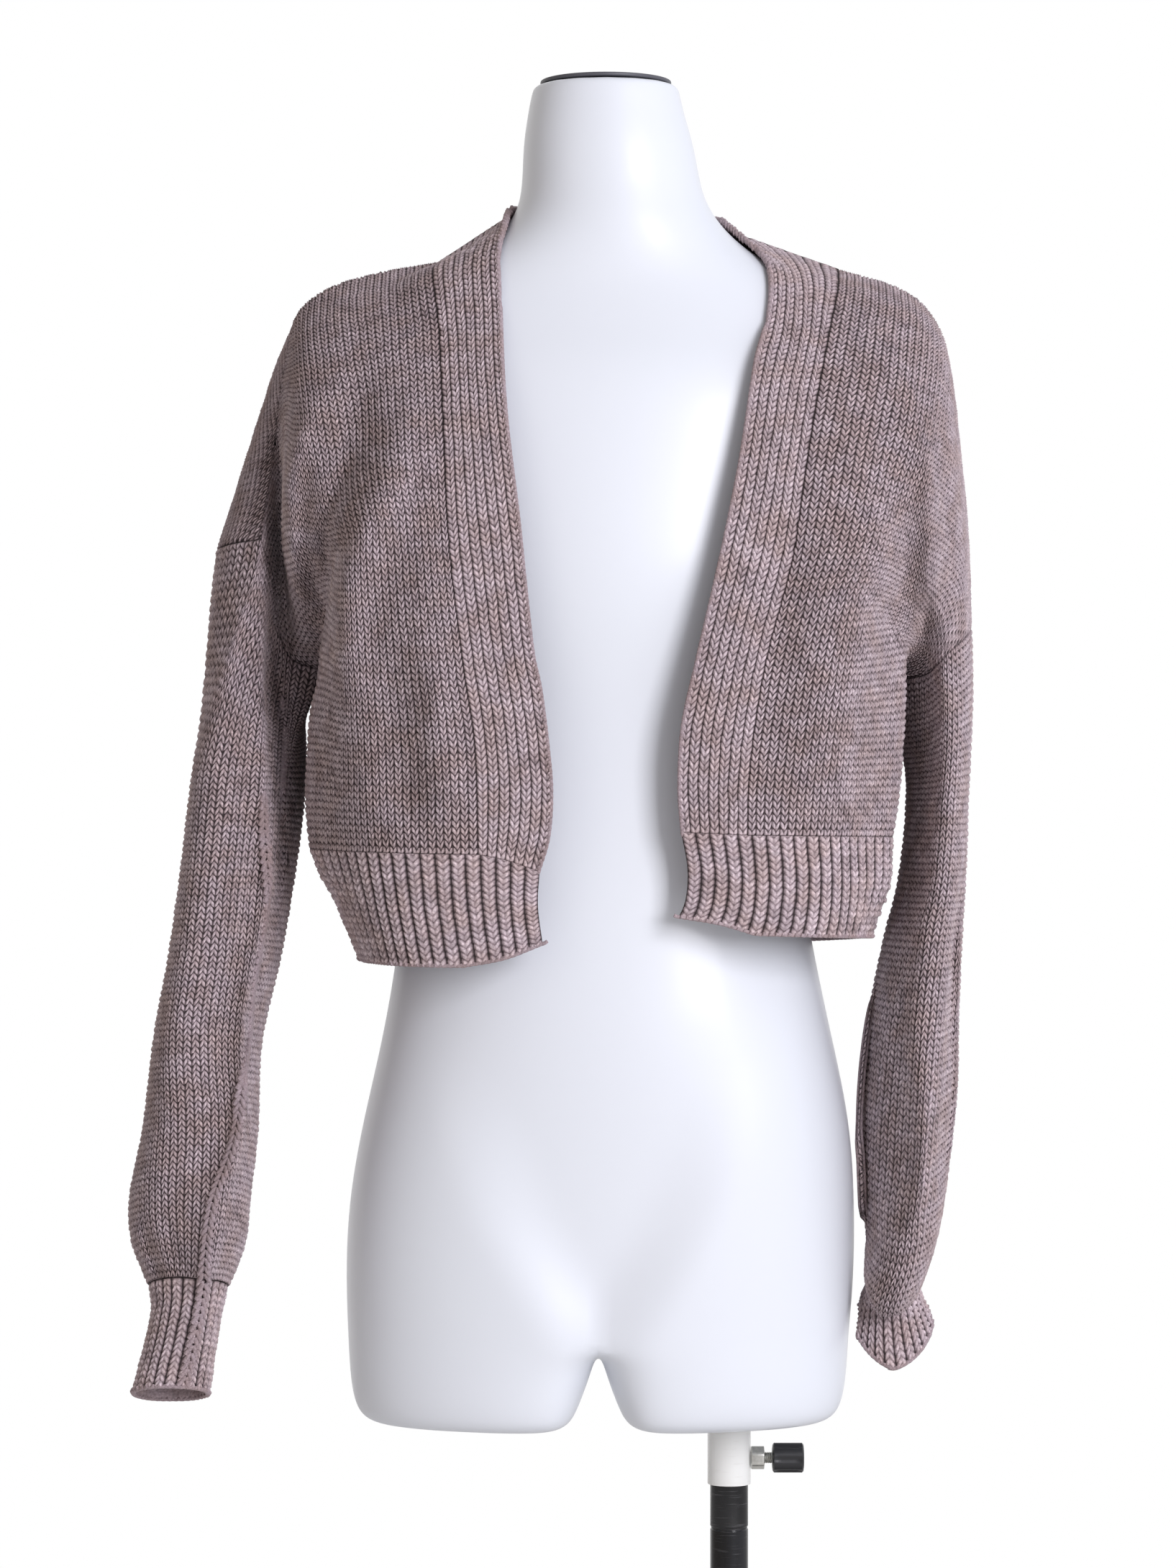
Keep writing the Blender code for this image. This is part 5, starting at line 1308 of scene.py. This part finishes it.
collarTop = formBottom - joint
bore = poleRadius + joint
settle(turnedPiece("standCollar", rounded((
    (0.0, poleTop + 0.0006), (bore, poleTop + 0.0006), (bore, collarBottom),
    (collarOuter, collarBottom), (collarOuter, collarTop), (0.0, collarTop)), 0.0007), 48,
    whiteEnamel), "form", "collar_white", "stand_collar")

zinc = zincPlate("zincPlatedSteel")
clampX = collarOuter + joint
nut = {"radius": 0.0075, "length": 0.0085, "bore": 0.0042, "roundWithin": 0.005,
       "corner": 0.93}


def hexagonal(radius, height, angle):
    if radius < nut["roundWithin"]:
        return np.full_like(angle, radius)
    turn = (angle + math.pi / 6) % (math.pi / 3) - math.pi / 6
    flat = radius * nut["corner"] / np.cos(turn)
    return np.minimum(flat, radius)


settle(turnedPiece("clampNut", rounded((
    (nut["bore"], 0.0), (nut["radius"], 0.0), (nut["radius"], nut["length"]),
    (nut["bore"], nut["length"]), (nut["bore"], 0.0)), 0.0006), 72, zinc,
    (clampX, 0.0, clampZ), "X", hexagonal), "form", "clamp_steel", "clamp_nut")

screw = {"radius": 0.0038, "length": 0.0128, "pitch": 0.00125, "thread": 0.00045,
         "start": 0.0006}


def threaded(radius, height, angle):
    wave = np.abs(((height / screw["pitch"] - angle / (2 * math.pi)) % 1.0) * 2 - 1)
    return radius - screw["thread"] * (1 - wave)


steps = int(screw["length"] / screw["pitch"] * 8)
thread = [(screw["radius"], screw["length"] * k / steps) for k in range(steps + 1)]
settle(turnedPiece("clampScrew", [(0.0, 0.0), *thread, (0.0, screw["length"])], 24, zinc,
                   (clampX + screw["start"], 0.0, clampZ), "X", threaded),
       "knob", "clamp_steel", "clamp_screw")

knob = {"radius": 0.0097, "length": 0.0208, "flats": 6, "grip": 0.0011, "cap": 0.0062,
        "bevel": 0.0012, "gripEnd": 0.004, "capDepth": 0.0007, "roundWithin": 0.0085}


def gripped(radius, height, angle):
    if radius < knob["roundWithin"]:
        return np.full_like(angle, radius)
    scoop = np.maximum(np.cos(angle * knob["flats"]), 0.0) ** 1.5
    reach = np.clip(min(height, knob["length"] - height) / knob["gripEnd"], 0, 1)
    return radius - knob["grip"] * scoop * reach


knobStart = clampX + screw["start"] + screw["length"] + joint
gripRows = [(knob["radius"], knob["bevel"] + (knob["length"] - 2 * knob["bevel"]) * k / 12)
            for k in range(13)]
capStart = knob["length"] - knob["capDepth"]
settle(turnedPiece("clampKnob", [
    (0.0, 0.0), (0.0062, 0.0), (0.0086, 0.0004), *gripRows,
    (0.0088, knob["length"] - 0.0003), (knob["cap"] + 0.0006, knob["length"]),
    (knob["cap"], capStart), (0.0, capStart)], 72,
    mouldedPlastic("mouldedBlackGrip", "#17171A", 0.38, 0.5),
    (knobStart, 0.0, clampZ), "X", gripped), "knob", "knob_black", "clamp_knob")
settle(turnedPiece("knobCap", rounded((
    (0.0, 0.0), (knob["cap"] - 0.0001, 0.0), (knob["cap"] - 0.0001, 0.0006),
    (0.0, 0.0006)), 0.0002), 48, mouldedPlastic("mouldedGreyCap", "#8C8C8C", 0.42, 0.5),
    (knobStart + capStart, 0.0, clampZ), "X"), "knob", "knob_black")
print("stand and form done")

# Edges: a chain of slanted loops closes each free edge
chains = {
    "front_band_left": ("near", 0.45), "front_band_right": ("near", -0.45),
    "back_neck_band": ("low", 0.45), "hem_rib_front_left": ("low", 0.30),
    "hem_rib_front_right": ("low", -0.30), "hem_rib_back": ("low", 0.30),
    "cuff_left": ("high", 0.30), "cuff_right": ("high", 0.30),
}
chainLoop = {"Spacing": 0.0040, "Loop length": 0.0064, "Yarn radius": 0.00135,
             "Rise": 0.0012, "Jitter": 0.15}
# the edge loops take one even mid level of the yarn's painted shade
chainShade = 0.52
chainTree = loopTree("edgeLoops", yarnMaterial)
for number, (name, (edge, lean)) in enumerate(chains.items()):
    points, side = edgePath(knits[name], edge)
    loopsAlong(f"chain_{name}", points, side, chainTree, chainShade,
               {**chainLoop, "Lean": lean, "Seed": number})


def frontLine(knit, marks):
    # a line drawn on a piece's front through marks of x and height, and the way out there
    grid = np.meshgrid(*(np.linspace(0, 1, count) for count in ridge["samples"]),
                       indexing="ij")
    points, out = (a.reshape(-1, 3) for a in knit.read(*grid))
    points, out = points[out[:, 1] < 0], out[out[:, 1] < 0]
    line = smoothCurve([(x, 0.0, z) for x, z in marks], ridge["steps"])
    near = [int(np.hypot(points[:, 0] - x, points[:, 2] - z).argmin()) for x, _, z in line]
    line[:, 1] = points[near, 1]
    outs = np.stack([smoothed(column, ridge["smooth"]) for column in out[near].T], axis=-1)
    line[:, 1] = smoothed(line[:, 1], ridge["smooth"])
    return line, unit(outs)


# the left sleeve's seam is a ridge of two columns of large stitches, on through the cuff
# the ridge's loops also take one even mid level of the yarn's painted shade
ridge = {"samples": (300, 260), "steps": 24, "smooth": 4, "apart": 0.0020, "sunk": 0.0009,
         "reliefShade": 0.48, "lean": 0.46, "seed": 20}
ridgeLoop = {"Spacing": 0.0050, "Loop length": 0.0070, "Yarn radius": 0.0016,
             "Rise": 0.0009, "Jitter": 0.12}
ridgeMarks = {
    "sleeve_left": (
        (-0.2158, 1.120), (-0.2163, 1.101), (-0.2143, 1.053), (-0.2239, 0.994),
        (-0.2284, 0.946), (-0.2354, 0.898), (-0.2475, 0.8625), (-0.2520, 0.827),
        (-0.2530, 0.813)),
    "cuff_left": ((-0.2535, 0.806), (-0.2570, 0.785), (-0.2610, 0.765), (-0.2650, 0.747)),
}
for name, marks in ridgeMarks.items():
    line, outs = frontLine(knits[name], marks)
    beside = unit(np.cross(outs, np.gradient(line, axis=0)))
    for number, side in enumerate((-1, 1)):
        points = line + beside * ridge["apart"] * side - outs * ridge["sunk"]
        points = points + (formX, 0.0, 0.0)
        loopsAlong(f"ridge_{name}_{number}", points, outs, chainTree, ridge["reliefShade"], {
            **ridgeLoop, "Lean": ridge["lean"] * side, "Seed": ridge["seed"] + number})
print("edge loops done")


# Stage: a pale floor and a surround that is cooler and brighter on the picture's right
floorMesh = bpy.data.meshes.new("paleFloor")
floorMesh.from_pydata([(-5, -5, 0), (5, -5, 0), (5, 3.2, 0), (-5, 3.2, 0)], [],
                      [(0, 1, 2, 3)])
floorPaint, floorTree, floorShader, _ = newMaterial("matFloorPaint")
setInputs(floorTree, floorShader, {"Base Color": linear("#E6E5E3"), "Roughness": 0.8})
floorMesh.materials.append(floorPaint)
addObject("paleFloor", floorMesh)

surround = {"behind": 1.0, "left": 0.34, "right": 0.76, "below": 0.45,
            "warm": "#EFE4DA", "cool": "#F4F6FF"}
world = bpy.data.worlds.new("softSurround")
bpy.context.scene.world = world
world.use_nodes = True
sky = world.node_tree
way = addNode(sky, "ShaderNodeTexCoord").outputs["Generated"]
x, y, z = addNode(sky, "ShaderNodeSeparateXYZ", {"Vector": way}).outputs
sides, depthShare, lowShare = (
    addNode(sky, "ShaderNodeMapRange", span, interpolation_type="SMOOTHSTEP")
    for span in ([x, -0.8, 0.8, surround["left"], surround["right"]], [y, 0.2, 0.8],
                 [z, -0.8, -0.25, surround["below"]]))
level = addNode(sky, "ShaderNodeMix", {0: depthShare, 2: sides, 3: surround["behind"]},
                data_type="FLOAT")
across = addNode(sky, "ShaderNodeMapRange", [x, -0.7, 0.4])
hue = addNode(sky, "ShaderNodeMix", {
    0: across, 6: linear(surround["warm"]), 7: linear(surround["cool"])},
    data_type="RGBA").outputs[2]
paler = addNode(sky, "ShaderNodeMix", {0: depthShare, 6: hue, 7: (1.0, 1.0, 1.0, 1.0)},
                data_type="RGBA").outputs[2]
strength = addNode(sky, "ShaderNodeMath", [level, lowShare], operation="MULTIPLY")
setInputs(sky, sky.nodes["Background"], {"Color": paler, "Strength": strength})
bpy.context.scene.view_settings.view_transform = "Standard"


def addSoftbox(name, place, aim, size, watts, colour):
    light = bpy.data.lights.new(name, "AREA")
    light.shape, light.size, light.size_y = "RECTANGLE", size[0], size[1]
    light.energy = watts
    light.color = linear(colour)[:3]
    lamp = addObject(name, light)
    lamp.location = place
    turn = np.array(aim, float) - np.array(place, float)
    flat = math.hypot(turn[0], turn[1])
    lamp.rotation_euler = (math.atan2(flat, -turn[2]), 0.0, math.atan2(-turn[0], turn[1]))


addSoftbox("keySoftbox", (1.5, -2.7, 1.9), (-0.1, 0.0, 1.15), (1.2, 1.6), 72.0, "#FAF9FF")
addSoftbox("fillSoftbox", (-2.0, -2.2, 1.7), (-0.1, 0.0, 1.1), (1.2, 1.8), 4.0, "#FFF4EA")
